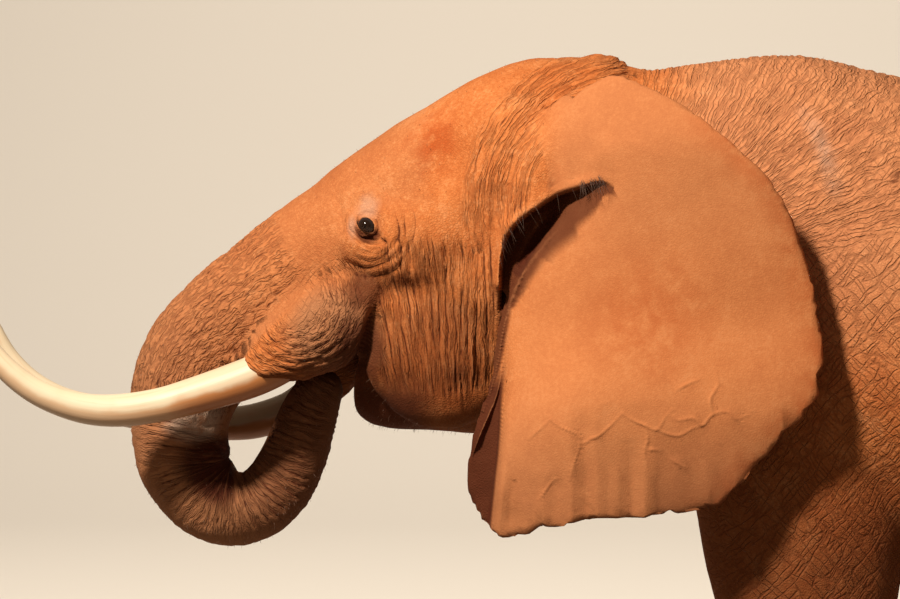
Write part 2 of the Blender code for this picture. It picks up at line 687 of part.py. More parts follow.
def main():
    for obj in list(bpy.data.objects):
        bpy.data.objects.remove(obj)
    skin = material("elephant_skin", SKIN, 0.85)
    ivory = material("tusk_ivory", IVORY, 0.4)
    horn = material("nail_horn", HORN, 0.6)
    cornea = material("eye_dark", CORNEA, 0.1)
    hair = material("tail_hair", HAIR, 0.7)

    pieces = parted_flesh()
    for side, word, tusk in ((-1, "left", TUSK_LEFT), (1, "right", TUSK_RIGHT)):
        rows = [(x, side * y, z, radius, radius) for x, y, z, radius in tusk]
        boolean(pieces["muzzle"], tube("pocket", rows, sides=12, steps=1, grow=FIT_GAP))
        finish(tube("tusk_" + word, rows, sides=12, steps=1), ivory)
        x, y, z = EYE_CENTRE
        boolean(pieces["head"], ball("socket", (x, side * y, z), EYE_RADIUS + FIT_GAP))
        finish(ball("eye_" + word, (x, side * y, z), EYE_RADIUS), cornea)
    for name, centre, turn in nail_places():
        foot = "foot_" + "_".join(name.split("_")[1:3])
        boolean(pieces[foot], nail("pocket", centre, turn, FIT_GAP))
        finish(nail(name, centre, turn), horn)
    finish(tube("tail_tuft", TUFT, sides=10, steps=2), hair)
    boolean(pieces["tail"], tube("pocket", TUFT, sides=10, steps=2, grow=FIT_GAP))
    for piece in pieces.values():
        finish(piece, skin)

    low = np.min([np.array(obj.bound_box).min(axis=0) for obj in bpy.data.objects], axis=0)
    high = np.max([np.array(obj.bound_box).max(axis=0) for obj in bpy.data.objects], axis=0)
    middle = (low + high) / 2
    for obj in bpy.data.objects:
        obj.data.transform(Matrix.Translation((-middle[0], -middle[1], -low[2])))


main()
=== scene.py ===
"""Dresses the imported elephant: one wrinkled skin, ivory, wet eyes, horn and sparse hair.

The animal faces -X with its left side towards -Y. Shapes are worked out in the maker's
frame, where x = 0 lies under the withers, and are moved by one offset at the end, read
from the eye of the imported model. Lengths are metres.
"""
from __future__ import annotations

import logging
import math
from dataclasses import dataclass, field
from enum import Enum
from typing import Iterable, Sequence

import bmesh
import bpy
import numpy as np
from bpy.types import ID, Material, Mesh, Node, NodeSocket, NodeTree, Object
from mathutils import Matrix, Vector
from mathutils.kdtree import KDTree

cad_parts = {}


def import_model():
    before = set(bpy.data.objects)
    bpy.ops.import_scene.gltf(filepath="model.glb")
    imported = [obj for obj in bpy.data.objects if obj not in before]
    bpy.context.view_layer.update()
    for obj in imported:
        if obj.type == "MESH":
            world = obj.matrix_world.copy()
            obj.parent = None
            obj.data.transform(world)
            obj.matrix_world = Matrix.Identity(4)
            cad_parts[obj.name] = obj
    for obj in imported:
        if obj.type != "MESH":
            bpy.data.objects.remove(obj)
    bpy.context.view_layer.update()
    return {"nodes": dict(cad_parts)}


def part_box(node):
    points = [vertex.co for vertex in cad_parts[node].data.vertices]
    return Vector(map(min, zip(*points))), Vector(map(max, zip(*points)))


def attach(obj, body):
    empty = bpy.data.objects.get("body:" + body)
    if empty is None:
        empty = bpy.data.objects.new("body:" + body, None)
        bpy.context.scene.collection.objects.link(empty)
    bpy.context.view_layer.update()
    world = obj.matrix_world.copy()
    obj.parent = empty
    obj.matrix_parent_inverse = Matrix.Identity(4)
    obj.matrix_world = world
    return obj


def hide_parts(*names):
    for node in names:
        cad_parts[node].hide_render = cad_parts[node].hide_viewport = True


LOG = logging.getLogger("elephant")
BODY = "root"
EYE_CENTRE = (-1.338, 0.305, 2.476)
EYE_RADIUS = 0.030
SIDES = {"left": -1, "right": 1}
CHUNK = 20000
FAR = 9.0

Rows = Sequence[Sequence[float]]
Array = np.ndarray


# ---- small shape tools
def smooth_rows(rows: Rows, steps: int) -> Array:
    """Rows on a smooth curve through the given rows.

    Args:
        rows: the rows that the curve passes through.
        steps: how many rows are made between two given ones.

    Returns:
        The rows of the curve, the last given row among them.
    """
    given = np.asarray(rows, float)
    ends = np.vstack([2 * given[0] - given[1], given, 2 * given[-1] - given[-2]])
    made = []
    for a, b, c, d in zip(ends, ends[1:], ends[2:], ends[3:]):
        for t in np.arange(steps) / steps:
            made.append(0.5 * (2 * b + (c - a) * t + (2 * a - 5 * b + 4 * c - d) * t * t
                               + (3 * b - a - 3 * c + d) * t ** 3))
    made.append(given[-1])
    return np.array(made)


def signed_power(value: float, power: float) -> float:
    """The size of the value raised to the power, with the value's sign."""
    return math.copysign(abs(value) ** power, value)


def ease(value: Array | float) -> Array:
    """0 below 0, 1 above 1, and smooth between."""
    t = np.clip(value, 0.0, 1.0)
    return t * t * (3 - 2 * t)


def ramp(value: Array | float, low: float, high: float) -> Array:
    """Rises smoothly from 0 at low to 1 at high, or falls where high is the smaller."""
    return ease((np.asarray(value, float) - low) / (high - low))


def shown(name: str, data: ID) -> Object:
    """Puts a mesh, light or camera in the scene.

    Args:
        name: name of the new object.
        data: what it is made of.

    Returns:
        The object.
    """
    made = bpy.data.objects.new(name, data)
    bpy.context.collection.objects.link(made)
    return made


def bell(value: Array, width: float) -> Array:
    """1 where the value is 0, falling away on both sides over about that width."""
    return np.exp(-(value / width) ** 2)


def arch(share: Array) -> Array:
    """0 at both ends of a share from 0 to 1, and 1 in its middle."""
    return np.sin(np.pi * np.clip(share, 0, 1))


def placed(name: str, work: bmesh.types.BMesh) -> Object:
    """Turns the work mesh into an object of that name.

    Args:
        name: the object's name.
        work: the mesh, which is used up.

    Returns:
        The object.
    """
    mesh = bpy.data.meshes.new(name)
    work.to_mesh(mesh)
    work.free()
    return shown(name, mesh)


def loft(name: str, rings: Sequence[Sequence[Sequence[float]]]) -> Object:
    """A closed mesh object whose wall runs through the rings, with flat ends.

    Args:
        name: the object's name.
        rings: closed rings of points, all with the same count.

    Returns:
        The object.
    """
    work = bmesh.new()
    loops = [[work.verts.new(point) for point in ring] for ring in rings]
    for first, second in zip(loops, loops[1:]):
        for i in range(len(first)):
            j = (i + 1) % len(first)
            work.faces.new((first[i], first[j], second[j], second[i]))
    work.faces.new(loops[0][::-1])
    work.faces.new(loops[-1])
    bmesh.ops.recalc_face_normals(work, faces=work.faces)
    return placed(name, work)


def tube(name: str, rows: Rows, sides: int = 24, steps: int = 3) -> Object:
    """A tube along rows of x, y, z, half width across the body and half length in its plane.

    Args:
        name: the object's name.
        rows: the given rows.
        sides: points round the tube.
        steps: rows made between two given ones.

    Returns:
        The object.
    """
    line = smooth_rows(rows, steps)
    rings = []
    for row, tangent in zip(line, np.gradient(line[:, :3], axis=0)):
        along = Vector(tangent).normalized()
        across = Vector((0, 1, 0))
        across = (across - along * across.dot(along)).normalized()
        normal = along.cross(across)
        turns = [2 * math.pi * k / sides for k in range(sides)]
        rings.append([Vector(row[:3]) + across * row[3] * math.cos(turn)
                      + normal * row[4] * math.sin(turn) for turn in turns])
    return loft(name, rings)


def barrel(name: str, rows: Rows, sides: int = 32, steps: int = 3) -> Object:
    """A loft through upright sections of x, top, widest level, bottom, half width, squareness.

    Args:
        name: the object's name.
        rows: the given sections.
        sides: points round each section.
        steps: sections made between two given ones.

    Returns:
        The object.
    """
    rings = []
    for x, top, level, bottom, half, square in smooth_rows(rows, steps):
        ring = []
        for k in range(sides):
            turn = 2 * math.pi * k / sides
            rise = top - level if math.sin(turn) > 0 else level - bottom
            ring.append((x, half * signed_power(math.cos(turn), 2 / square),
                         level + rise * signed_power(math.sin(turn), 2 / square)))
        rings.append(ring)
    return loft(name, rings)


def blob(name: str, centre: Sequence[float], radii: Sequence[float], columns: int = 16,
         rows: int = 10) -> Object:
    """An ellipsoid object.

    Args:
        name: its name.
        centre: its middle.
        radii: its half lengths along x, y and z.
        columns: faces round it.
        rows: faces from pole to pole.

    Returns:
        The object.
    """
    work = bmesh.new()
    bmesh.ops.create_uvsphere(work, u_segments=columns, v_segments=rows, radius=1.0)
    bmesh.ops.transform(work, matrix=Matrix.Diagonal((*radii, 1.0)), verts=work.verts)
    bmesh.ops.translate(work, vec=centre, verts=work.verts)
    return placed(name, work)


def on_side(rows: Rows, side: int) -> Rows:
    """Rows of x, y, z, across and in-plane with y put on that side (-1 left, +1 right)."""
    return [(x, side * y, z, across, in_plane) for x, y, z, across, in_plane in rows]


def settle(obj: Object) -> None:
    """Puts what the object's modifiers make into its own mesh.

    Args:
        obj: the object, which is left with no modifiers.
    """
    graph = bpy.context.evaluated_depsgraph_get()
    mesh = bpy.data.meshes.new_from_object(obj.evaluated_get(graph))
    obj.modifiers.clear()
    obj.data = mesh


def joined(name: str, objects: Iterable[Object]) -> Object:
    """One object that holds the meshes of all of these, which are removed.

    Args:
        name: the new object's name.
        objects: the objects.

    Returns:
        The new object.
    """
    work = bmesh.new()
    for obj in objects:
        work.from_mesh(obj.data)
        bpy.data.objects.remove(obj)
    return placed(name, work)


def read(items: bpy.types.bpy_prop_collection, key: str, width: int = 1,
         kind: type = np.float32) -> Array:
    """One property of every item of a mesh.

    Args:
        items: the mesh's vertices, edges, faces or corners.
        key: the property's name.
        width: how many numbers it has.
        kind: the type of those numbers.

    Returns:
        A row for each item, or one number for each where the width is 1.
    """
    values = np.empty(len(items) * width, kind)
    items.foreach_get(key, values)
    return values.reshape(-1, width) if width > 1 else values


def points_of(mesh: Mesh, what: str = "co") -> Array:
    """The places, or the normals, of the mesh's vertices."""
    return read(mesh.vertices, what, 3).astype(float)


def put_points(mesh: Mesh, points: Array) -> None:
    """Moves the mesh's vertices to these places."""
    mesh.vertices.foreach_set("co", points.astype(np.float32).ravel())
    mesh.update()


def edges_of(mesh: Mesh) -> Array:
    """One row with the first ends of all edges, and one with their second ends."""
    return read(mesh.edges, "vertices", 2, np.int32).T


def average_over(points: Array, edges: Array) -> Array:
    """Each vertex's mean over its neighbours, for the two rows of ends of the edges.

    Args:
        points: places of the vertices.
        edges: the two rows of ends of the edges.

    Returns:
        The means.
    """
    count = len(points)
    first, second = edges
    shares = np.bincount(first, minlength=count) + np.bincount(second, minlength=count)
    sums = [np.bincount(first, column[second], count) + np.bincount(second, column[first], count)
            for column in points.T]
    return np.stack(sums, 1) / np.maximum(shares, 1)[:, None]


def rounded(points: Array, edges: Array, strength: Array, rounds: int) -> None:
    """Smooths points in place, by pairs of steps in and out that keep the body's bulk."""
    for step in (0.5, -0.52) * rounds:
        points += step * strength * (average_over(points, edges) - points)


def write_attribute(mesh: Mesh, name: str, values: Array) -> None:
    """Stores one number, or one vector, for each vertex.

    Args:
        mesh: the mesh that keeps them.
        name: name of the attribute.
        values: a number, or a row of three, for each vertex.
    """
    kind, key = ("FLOAT", "value") if values.ndim == 1 else ("FLOAT_VECTOR", "vector")
    made = mesh.attributes.new(name, kind, "POINT")
    made.data.foreach_set(key, values.astype(np.float32).ravel())


def in_box(points: Array, low: Sequence[float], high: Sequence[float]) -> Array:
    """Which points lie between the two corners of a box."""
    return ((points > np.array(low)) & (points < np.array(high))).all(axis=1)


def units(vectors: Array) -> Array:
    """Each vector made one long."""
    return vectors / np.linalg.norm(vectors, axis=1)[:, None]


def run_lengths(line: Array) -> Array:
    """How far along a line of points each of them lies."""
    steps = np.linalg.norm(np.diff(line, axis=0), axis=1)
    return np.concatenate([[0], np.cumsum(steps)])


def nearest_rows(spots: Array, line: Array) -> Array:
    """Finds the nearest point of a line, in chunks to save memory.

    Args:
        spots: rows of coordinates.
        line: rows of coordinates along the line.

    Returns:
        For each spot, the number of the row of the line that is nearest.
    """
    chunks = np.array_split(spots, max(1, len(spots) // CHUNK))
    return np.concatenate([((part[:, None] - line[None]) ** 2).sum(axis=2).argmin(axis=1)
                           for part in chunks])


# ---- numbers that vary in space
def hashed(cells: Array, seed: int) -> Array:
    """A number from 0 to 1 for every whole-number cell, the same on every run.

    Args:
        cells: rows of whole numbers.
        seed: picks the layout.

    Returns:
        A number for each row.
    """
    mixed = cells.astype(np.int64) @ np.array([73856093, 19349663, 83492791])[:cells.shape[1]]
    mixed = (mixed + seed * 2654435761) & 0xFFFFFFFF
    mixed = ((mixed ^ (mixed >> 15)) * 2246822519) & 0xFFFFFFFF
    mixed = ((mixed ^ (mixed >> 13)) * 3266489917) & 0xFFFFFFFF
    return (mixed ^ (mixed >> 16)) / 4294967295.0


def smooth_noise(points: Array, size: float, seed: int) -> Array:
    """Smooth noise from -1 to 1 whose lumps are about that size.

    Args:
        points: places, in two or three dimensions.
        size: about the width of a lump.
        seed: picks the layout.

    Returns:
        A number for each place.
    """
    spots = points / size
    base = np.floor(spots)
    part = ease(spots - base)
    total = np.zeros(len(points))
    for corner in np.ndindex(*(2,) * points.shape[1]):
        weight = np.prod(np.where(np.array(corner) == 1, part, 1 - part), axis=1)
        total += weight * hashed(base + corner, seed)
    return 2 * total - 1


def furrows(across: Array, along: Array, spacing: float, length: float, seed: int) -> Array:
    """Grooves that run mostly along, as the borders of long staggered cells.

    Args:
        across: distance across the grooves.
        along: distance along them.
        spacing: distance from one groove to the next.
        length: length of a cell.
        seed: picks the layout.

    Returns:
        0 in the bottom of a groove, up to about 1 on the ridge between two grooves.
    """
    spots = np.stack([across / spacing, along / length], axis=1)
    base = np.floor(spots)
    nearest = np.full(len(spots), 9.0)
    second = np.full(len(spots), 9.0)
    for step in np.ndindex(3, 3):
        cell = base + (np.array(step) - 1)
        middle = cell + 0.12 + 0.76 * np.stack([hashed(cell, seed), hashed(cell, seed + 1)], 1)
        away = np.linalg.norm(spots - middle, axis=1)
        second = np.minimum(second, np.maximum(nearest, away))
        nearest = np.minimum(nearest, away)
    return second - nearest


# ---- the animal's measurements
@dataclass
class Torso:
    """Trunk of the body and neck: x, top, widest level, bottom, half width, squareness."""

    rows: Rows = (
        (-0.98, 2.700, 2.34, 1.84, 0.220, 2.2), (-0.80, 2.860, 2.34, 1.79, 0.290, 2.2),
        (-0.62, 2.945, 2.32, 1.73, 0.330, 2.2), (-0.45, 2.958, 2.29, 1.66, 0.365, 2.2),
        (-0.25, 2.982, 2.24, 1.56, 0.420, 2.15), (-0.05, 3.003, 2.18, 1.43, 0.480, 2.1),
        (0.12, 2.982, 2.12, 1.36, 0.540, 2.1), (0.40, 2.908, 2.06, 1.32, 0.620, 2.1),
        (0.70, 2.855, 2.02, 1.28, 0.690, 2.1), (1.00, 2.838, 1.99, 1.24, 0.720, 2.1),
        (1.30, 2.860, 1.99, 1.22, 0.710, 2.1), (1.58, 2.875, 2.02, 1.27, 0.630, 2.1),
        (1.82, 2.805, 2.05, 1.42, 0.510, 2.05), (2.00, 2.660, 2.06, 1.60, 0.380, 2.0),
        (2.10, 2.500, 2.08, 1.76, 0.240, 2.0), (2.14, 2.380, 2.08, 1.86, 0.120, 2.0),
    )
    tail: Rows = (
        (2.02, 0.0, 2.500, 0.085, 0.085), (2.13, 0.0, 2.410, 0.070, 0.070),
        (2.205, 0.0, 2.270, 0.055, 0.055), (2.235, 0.0, 2.080, 0.043, 0.043),
        (2.240, 0.005, 1.850, 0.035, 0.035), (2.232, 0.012, 1.600, 0.029, 0.029),
        (2.220, 0.020, 1.350, 0.025, 0.025), (2.210, 0.026, 1.120, 0.022, 0.022),
        (2.205, 0.030, 0.960, 0.020, 0.020),
    )
    haunch: tuple = ((1.56, 0.33, 2.20), (0.40, 0.22, 0.50))
    blade: tuple = ((0.08, 0.30, 2.25), (0.30, 0.20, 0.52))

    def lofts(self) -> list[Object]:
        """The overlapping shapes of the body and the tail.

        Returns:
            The objects.
        """
        made = [barrel("torso", self.rows), tube("tail_core", self.tail, sides=14)]
        for side in SIDES.values():
            for (x, y, z), radii in (self.haunch, self.blade):
                made.append(blob("mass", (x, side * y, z), radii))
        return made


@dataclass
class Legs:
    """Legs as x, y, z, half width, half length, and how far each foot is set along x."""

    fore: Rows = (
        (0.06, 0.23, 2.30, 0.170, 0.280), (0.02, 0.29, 2.02, 0.205, 0.340),
        (0.01, 0.34, 1.72, 0.215, 0.345), (0.02, 0.36, 1.45, 0.205, 0.305),
        (0.04, 0.36, 1.22, 0.185, 0.255), (0.05, 0.35, 1.00, 0.165, 0.205),
        (0.045, 0.345, 0.80, 0.152, 0.178), (0.035, 0.342, 0.60, 0.148, 0.168),
        (0.035, 0.342, 0.40, 0.146, 0.162), (0.030, 0.342, 0.24, 0.162, 0.178),
        (0.020, 0.344, 0.11, 0.196, 0.212), (0.015, 0.344, 0.03, 0.214, 0.234),
        (0.015, 0.344, -0.05, 0.214, 0.234),
    )
    hind: Rows = (
        (1.58, 0.26, 2.40, 0.200, 0.360), (1.63, 0.31, 2.05, 0.235, 0.450),
        (1.62, 0.335, 1.75, 0.245, 0.420), (1.585, 0.335, 1.45, 0.230, 0.360),
        (1.56, 0.330, 1.18, 0.198, 0.282), (1.57, 0.322, 0.96, 0.168, 0.215),
        (1.61, 0.315, 0.76, 0.146, 0.172), (1.64, 0.310, 0.58, 0.136, 0.154),
        (1.635, 0.308, 0.40, 0.134, 0.148), (1.620, 0.308, 0.24, 0.146, 0.160),
        (1.600, 0.308, 0.11, 0.172, 0.192), (1.595, 0.308, 0.03, 0.186, 0.212),
        (1.595, 0.308, -0.05, 0.186, 0.212),
    )
    stride: dict = field(default_factory=lambda: {
        ("fore", "left"): -0.02, ("fore", "right"): 0.10,
        ("hind", "left"): 0.07, ("hind", "right"): -0.09})

    def rows(self, pair: str, word: str) -> Rows:
        """The rows of one leg, with its foot set ahead or behind and the hip left in place.

        Args:
            pair: fore or hind.
            word: the side.

        Returns:
            Rows of x, y, z, half width and half length.
        """
        rows = getattr(self, pair)
        stride = self.stride[pair, word]
        return [(x + stride * (1 - float(ease(z / rows[0][2]))), SIDES[word] * y, z, across, along)
                for x, y, z, across, along in rows]

    def lofts(self) -> list[Object]:
        """The four legs."""
        return [tube("leg", self.rows(pair, word)) for pair, word in self.stride]


@dataclass
class Ears:
    """A hanging sheet of even thickness on each side, and the thick root that carries it.

    Paths lie in the x, z plane. hanging: path and depth of a crease. nicks: place, width and
    depth. Width of the shadow painted below the canal's rim, hollow_depth and hollow_width:
    share of the rim's length, and a value.
    """

    outline: Rows = (
        (-0.680, 2.900), (-0.590, 2.948), (-0.480, 2.915), (-0.330, 2.832), (-0.185, 2.712),
        (-0.075, 2.590), (-0.010, 2.430), (0.030, 2.270), (0.052, 2.110), (0.030, 1.990),
        (-0.060, 1.885), (-0.170, 1.765), (-0.250, 1.680), (-0.400, 1.640), (-0.600, 1.626),
        (-0.770, 1.592), (-0.900, 1.552), (-0.985, 1.598), (-1.028, 1.690), (-1.008, 1.840),
        (-0.965, 1.990), (-0.935, 2.160), (-0.895, 2.320), (-0.840, 2.480), (-0.800, 2.640),
        (-0.760, 2.790),
    )
    centre: tuple = (-0.47, 2.25)
    root: Rows = (
        (-0.640, 0.270, 2.890, 0.040, 0.050), (-0.695, 0.335, 2.805, 0.075, 0.090),
        (-0.755, 0.375, 2.690, 0.085, 0.105), (-0.815, 0.385, 2.550, 0.078, 0.095),
        (-0.860, 0.390, 2.410, 0.066, 0.080), (-0.890, 0.395, 2.280, 0.050, 0.060),
    )
    thickness: float = 0.030
    rings: int = 7
    rim: Rows = (
        (-0.570, 2.618), (-0.619, 2.628), (-0.689, 2.605), (-0.740, 2.587), (-0.786, 2.558),
        (-0.862, 2.503), (-0.909, 2.441), (-0.924, 2.365), (-0.927, 2.287), (-0.937, 2.194),
        (-0.949, 2.101), (-0.963, 2.020), (-0.985, 1.930), (-1.005, 1.860),
    )
    ridge: Rows = (
        (-0.716, 2.514), (-0.777, 2.443), (-0.832, 2.375), (-0.871, 2.304), (-0.899, 2.227),
        (-0.918, 2.149), (-0.930, 2.072), (-0.948, 1.995), (-0.973, 1.924),
    )
    # How far the shadow painted below the canal's rim reaches, along the rim.
    painted_shade_width: Rows = ((0, 0.035), (0.10, 0.10), (0.20, 0.155), (0.40, 0.175), (0.50, 0.13),
                        (0.62, 0.050), (1, 0.03))
    hollow_depth: Rows = ((0, 0), (0.08, 0.030), (0.22, 0.085), (0.40, 0.105), (0.55, 0.060),
                          (0.72, 0.036), (0.90, 0.026), (1, 0))
    hollow_width: Rows = ((0, 0.03), (0.15, 0.10), (0.33, 0.155), (0.48, 0.12), (0.62, 0.065),
                          (1, 0.05))
    pit: Rows = ((-0.735, 2.540), (-0.805, 2.455), (-0.870, 2.345))
    front_roll: Rows = (
        (-0.885, 2.160), (-0.893, 2.060), (-0.903, 1.960), (-0.906, 1.864), (-0.911, 1.790),
        (-0.919, 1.716), (-0.927, 1.642), (-0.935, 1.560),
    )
    hanging: tuple = (
        (((-0.659, 1.610), (-0.653, 1.757), (-0.666, 1.878), (-0.666, 1.990)), 0.010),
        (((-0.517, 1.612), (-0.521, 1.759), (-0.530, 1.880)), 0.009),
        (((-0.433, 1.625), (-0.433, 1.761), (-0.420, 1.840)), 0.006),
        (((-0.868, 1.540), (-0.872, 1.640), (-0.862, 1.760)), 0.010),
        (((-0.820, 1.560), (-0.826, 1.650), (-0.815, 1.740)), 0.007),
        (((-0.745, 1.585), (-0.742, 1.680), (-0.750, 1.800)), 0.005),
        (((-0.320, 1.650), (-0.335, 1.750), (-0.330, 1.830)), 0.004),
        (((-0.230, 1.700), (-0.260, 1.790), (-0.250, 1.870)), 0.004),
        (((-0.140, 1.800), (-0.190, 1.870), (-0.210, 1.950)), 0.004),
    )
    veins: tuple = (
        ((-0.545, 1.945), (-0.515, 1.926), (-0.479, 1.911), (-0.443, 1.899), (-0.419, 1.935),
         (-0.398, 1.957)),
        ((-0.443, 1.899), (-0.405, 1.885), (-0.374, 1.883), (-0.335, 1.905), (-0.308, 1.913)),
        ((-0.400, 1.940), (-0.380, 1.928), (-0.335, 1.934), (-0.308, 1.913), (-0.279, 1.944),
         (-0.234, 1.953), (-0.210, 1.932), (-0.170, 1.945)),
        ((-0.665, 1.850), (-0.640, 1.868), (-0.614, 1.880), (-0.585, 1.905), (-0.545, 1.945)),
        ((-0.279, 1.944), (-0.285, 1.990), (-0.262, 2.035), (-0.275, 2.080)),
        ((-0.479, 1.911), (-0.470, 1.870), (-0.480, 1.830), (-0.470, 1.790)),
        ((-0.773, 1.934), (-0.739, 1.907), (-0.673, 1.871), (-0.690, 1.791), (-0.702, 1.746)),
        ((-0.827, 1.860), (-0.788, 1.897), (-0.755, 1.927)),
        ((-0.795, 1.680), (-0.756, 1.736), (-0.738, 1.746)),
        ((-0.470, 1.838), (-0.434, 1.838)), ((-0.401, 1.811), (-0.356, 1.785)),
        ((-0.384, 2.017), (-0.350, 2.035), (-0.320, 2.046)),
    )
    nicks: tuple = (
        (0.052, 2.050, 0.028, 0.018), (-0.205, 1.700, 0.020, 0.014), (-0.403, 1.636, 0.014, 0.018),
        (-0.790, 1.590, 0.018, 0.020), (-0.900, 1.535, 0.010, 0.010), (-0.640, 1.628, 0.040, 0.006),
        (-0.060, 1.885, 0.030, 0.010), (0.030, 2.240, 0.020, 0.008),
    )

    def lead(self, z: Array) -> Array:
        """Where the sheet's front line lies along x at that height."""
        return -0.80 - 0.12 * ease((2.64 - z) / 0.45) - 0.10 * ease((2.05 - z) / 0.35)

    def depth(self, x: Array, z: Array) -> Array:
        """How far the sheet stands from the middle of the body at that place.

        Args:
            x: places along the body.
            z: their heights.

        Returns:
            The distance for each place.
        """
        low = ease((2.35 - z) / 0.45)
        root = 0.30 + 0.10 * ease((2.96 - z) / 0.25) + 0.05 * ease((2.25 - z) / 0.35)
        behind = np.maximum(0.0, x - self.lead(z))
        stand = (0.235 + 0.015 * low) * (1 - np.exp(-behind / (0.24 - 0.13 * low)))
        return root + stand + 0.008 * np.sin(14 * x + 3 * z) * ease((2.2 - z) / 0.5)

    def edge(self, steps: int = 2) -> Array:
        """The outline as a smooth closed run of x, z."""
        closed = list(self.outline) + list(self.outline[:3])
        return smooth_rows(closed, steps)[steps:-2 * steps]

    def sheet(self, side: int) -> Object:
        """One ear's sheet, star-shaped round its centre.

        Args:
            side: -1 left, +1 right.

        Returns:
            The sheet as a closed object.
        """
        outline = self.edge()
        shares = np.arange(1, self.rings + 1) / self.rings
        middle = np.array(self.centre)
        work = bmesh.new()
        rims = []
        for offset in (-self.thickness / 2, self.thickness / 2):
            hub = work.verts.new((middle[0], side * (self.depth(*middle) + offset), middle[1]))
            loops = []
            for share in shares:
                spots = middle + (outline - middle) * share
                stand = side * (self.depth(spots[:, 0], spots[:, 1]) + offset)
                loops.append([work.verts.new((x, y, z)) for (x, z), y in zip(spots, stand)])
            for i in range(len(outline)):
                j = (i + 1) % len(outline)
                work.faces.new((hub, loops[0][i], loops[0][j]))
                for inner, outer in zip(loops, loops[1:]):
                    work.faces.new((inner[i], outer[i], outer[j], inner[j]))
            rims.append(loops[-1])
        for i in range(len(outline)):
            j = (i + 1) % len(outline)
            work.faces.new((rims[0][i], rims[0][j], rims[1][j], rims[1][i]))
        bmesh.ops.recalc_face_normals(work, faces=work.faces)
        return placed("ear_sheet", work)

    def creases(self, points: Array) -> Array:
        """How far the outer face stands out or in for folds, veins and hanging creases.

        Args:
            points: places on the sheet.

        Returns:
            The distance for each place.
        """
        x, z = points[:, 0], points[:, 2]
        swing = 0.007 * smooth_noise(np.stack([x, z], 1), 0.24, 5)
        swing += 0.0035 * smooth_noise(np.stack([x, z * 0.45], 1), 0.060, 6) * ramp(z, 2.05, 1.70)
        for path, depth in self.hanging:
            share, aside = beside(points, path, 0.08)
            line = bell(aside, 0.020) - 0.7 * bell(np.abs(aside) - 0.040, 0.018)
            swing -= 0.9 * depth * line * along_path(share, ((0, 1), (0.6, 0.8), (1, 0)))
        for path in self.veins:
            share, aside = beside(points, path, 0.04)
            height = along_path(share, ((0, 0.4), (0.3, 1), (1, 0.3)))
            swing += 0.0036 * bell(aside, 0.0050) * height
        return swing

    def shade(self, points: Array) -> Array:
        """Where shade is painted on the ear: in its canal, in the hollow round it and on its front
        lobe.

        Args:
            points: places on the skin.

        Returns:
            A share from 0 to 1 for each place.
        """
        x, z = points[:, 0], points[:, 2]
        near = ramp(np.abs(points[:, 1]) - self.depth(x, z), -0.16, -0.10)
        share, aside = beside(points, self.rim)
        width = along_path(share, self.painted_shade_width)
        # Painted shadow below the canal's rim, then painted shade in the pit and on the front lobe.
        painted_shade_share = 0.88 * ramp(aside, 0.002, 0.011) * ramp(aside / width, 1.05, 0.70) * (share > 0)
        share, aside = beside(points, self.pit, 0.08)
        painted_shade_share = np.maximum(painted_shade_share, 0.97 * ramp(np.abs(aside), 0.030, 0.014) * ramp(share, 0.0, 0.2))
        share, aside = beside(points, self.front_roll, 0.20)
        lobe = ramp(aside, -0.004, -0.018) * ramp(share, 0.10, 0.30) * (np.abs(aside) < 0.18)
        over = 0.20 * patch(points, (-0.600, 2.655), (0.140, 0.070), 1.0)
        return np.maximum.reduce([painted_shade_share, 0.96 * lobe, over]) * near

    def kept(self, points: Array) -> Array:
        """Which places keep their fine mesh: round the canal, the lobe's edge and the veins.

        Args:
            points: places on the skin.

        Returns:
            True for each place that is kept.
        """
        kept = self.shade(points) > 0.02
        outer = np.abs(points[:, 1]) > self.depth(points[:, 0], points[:, 2]) - 0.012
        for path in self.veins:
            kept |= (np.abs(beside(points, path, 0.04)[1]) < 0.012) & outer
        return kept

    def shaped(self, points: Array, ear: Array, inset: Array) -> Array:
        """The points with the ears' folds, hollows, ragged rim and canal.

        Args:
            points: places on the skin.
            ear: how surely each is on the sheet.
            inset: distance in from the sheet's edge.

        Returns:
            The moved points.
        """
        x, z = points[:, 0], points[:, 2]
        side = np.sign(points[:, 1])
        stand = np.abs(points[:, 1]) - self.depth(x, z)
        outward = ramp(stand, -0.065, -0.030)
        share, aside = beside(points, self.rim)
        depth, width = along_path(share, self.hollow_depth), along_path(share, self.hollow_width)
        fall = np.where(aside > 0, ramp(aside, 0.0, 0.012) * ramp(aside / width, 1.0, 0.15), 0.0)
        push = -depth * fall
        lip = along_path(share, ((0, 0), (0.12, 0.010), (0.35, 0.020), (0.55, 0.012), (1, 0.004)))
        push += lip * bell(aside + 0.012, 0.014) * (share > 0)
        share, aside = beside(points, self.ridge, 0.08)
        height = along_path(share, ((0, 0), (0.15, 0.020), (0.6, 0.020), (1, 0.008)))
        push += height * bell(aside, 0.0075)
        share, aside = beside(points, self.pit, 0.08)
        push -= 0.040 * bell(aside, 0.017) * arch(share)

        share, aside = beside(points, self.front_roll, 0.20)
        held = ramp(share, 0.0, 0.25) * (aside < 0.19)
        recess = -(0.075 * ramp(aside, 0.000, -0.022) + 0.35 * np.clip(-aside, 0, 0.2)) * held
        roll = 0.016 * bell(aside - 0.014, 0.018) * held
        push = push * outward + (recess + roll + self.creases(points)) * ear
        face = np.sign(stand)
        thin = (0.0030 + 0.0030 * ramp(inset, 0.10, 0.0)) * ramp(z, 2.88, 2.70)
        moved = points.copy()
        moved[:, 1] += side * (push - ear * face * thin)

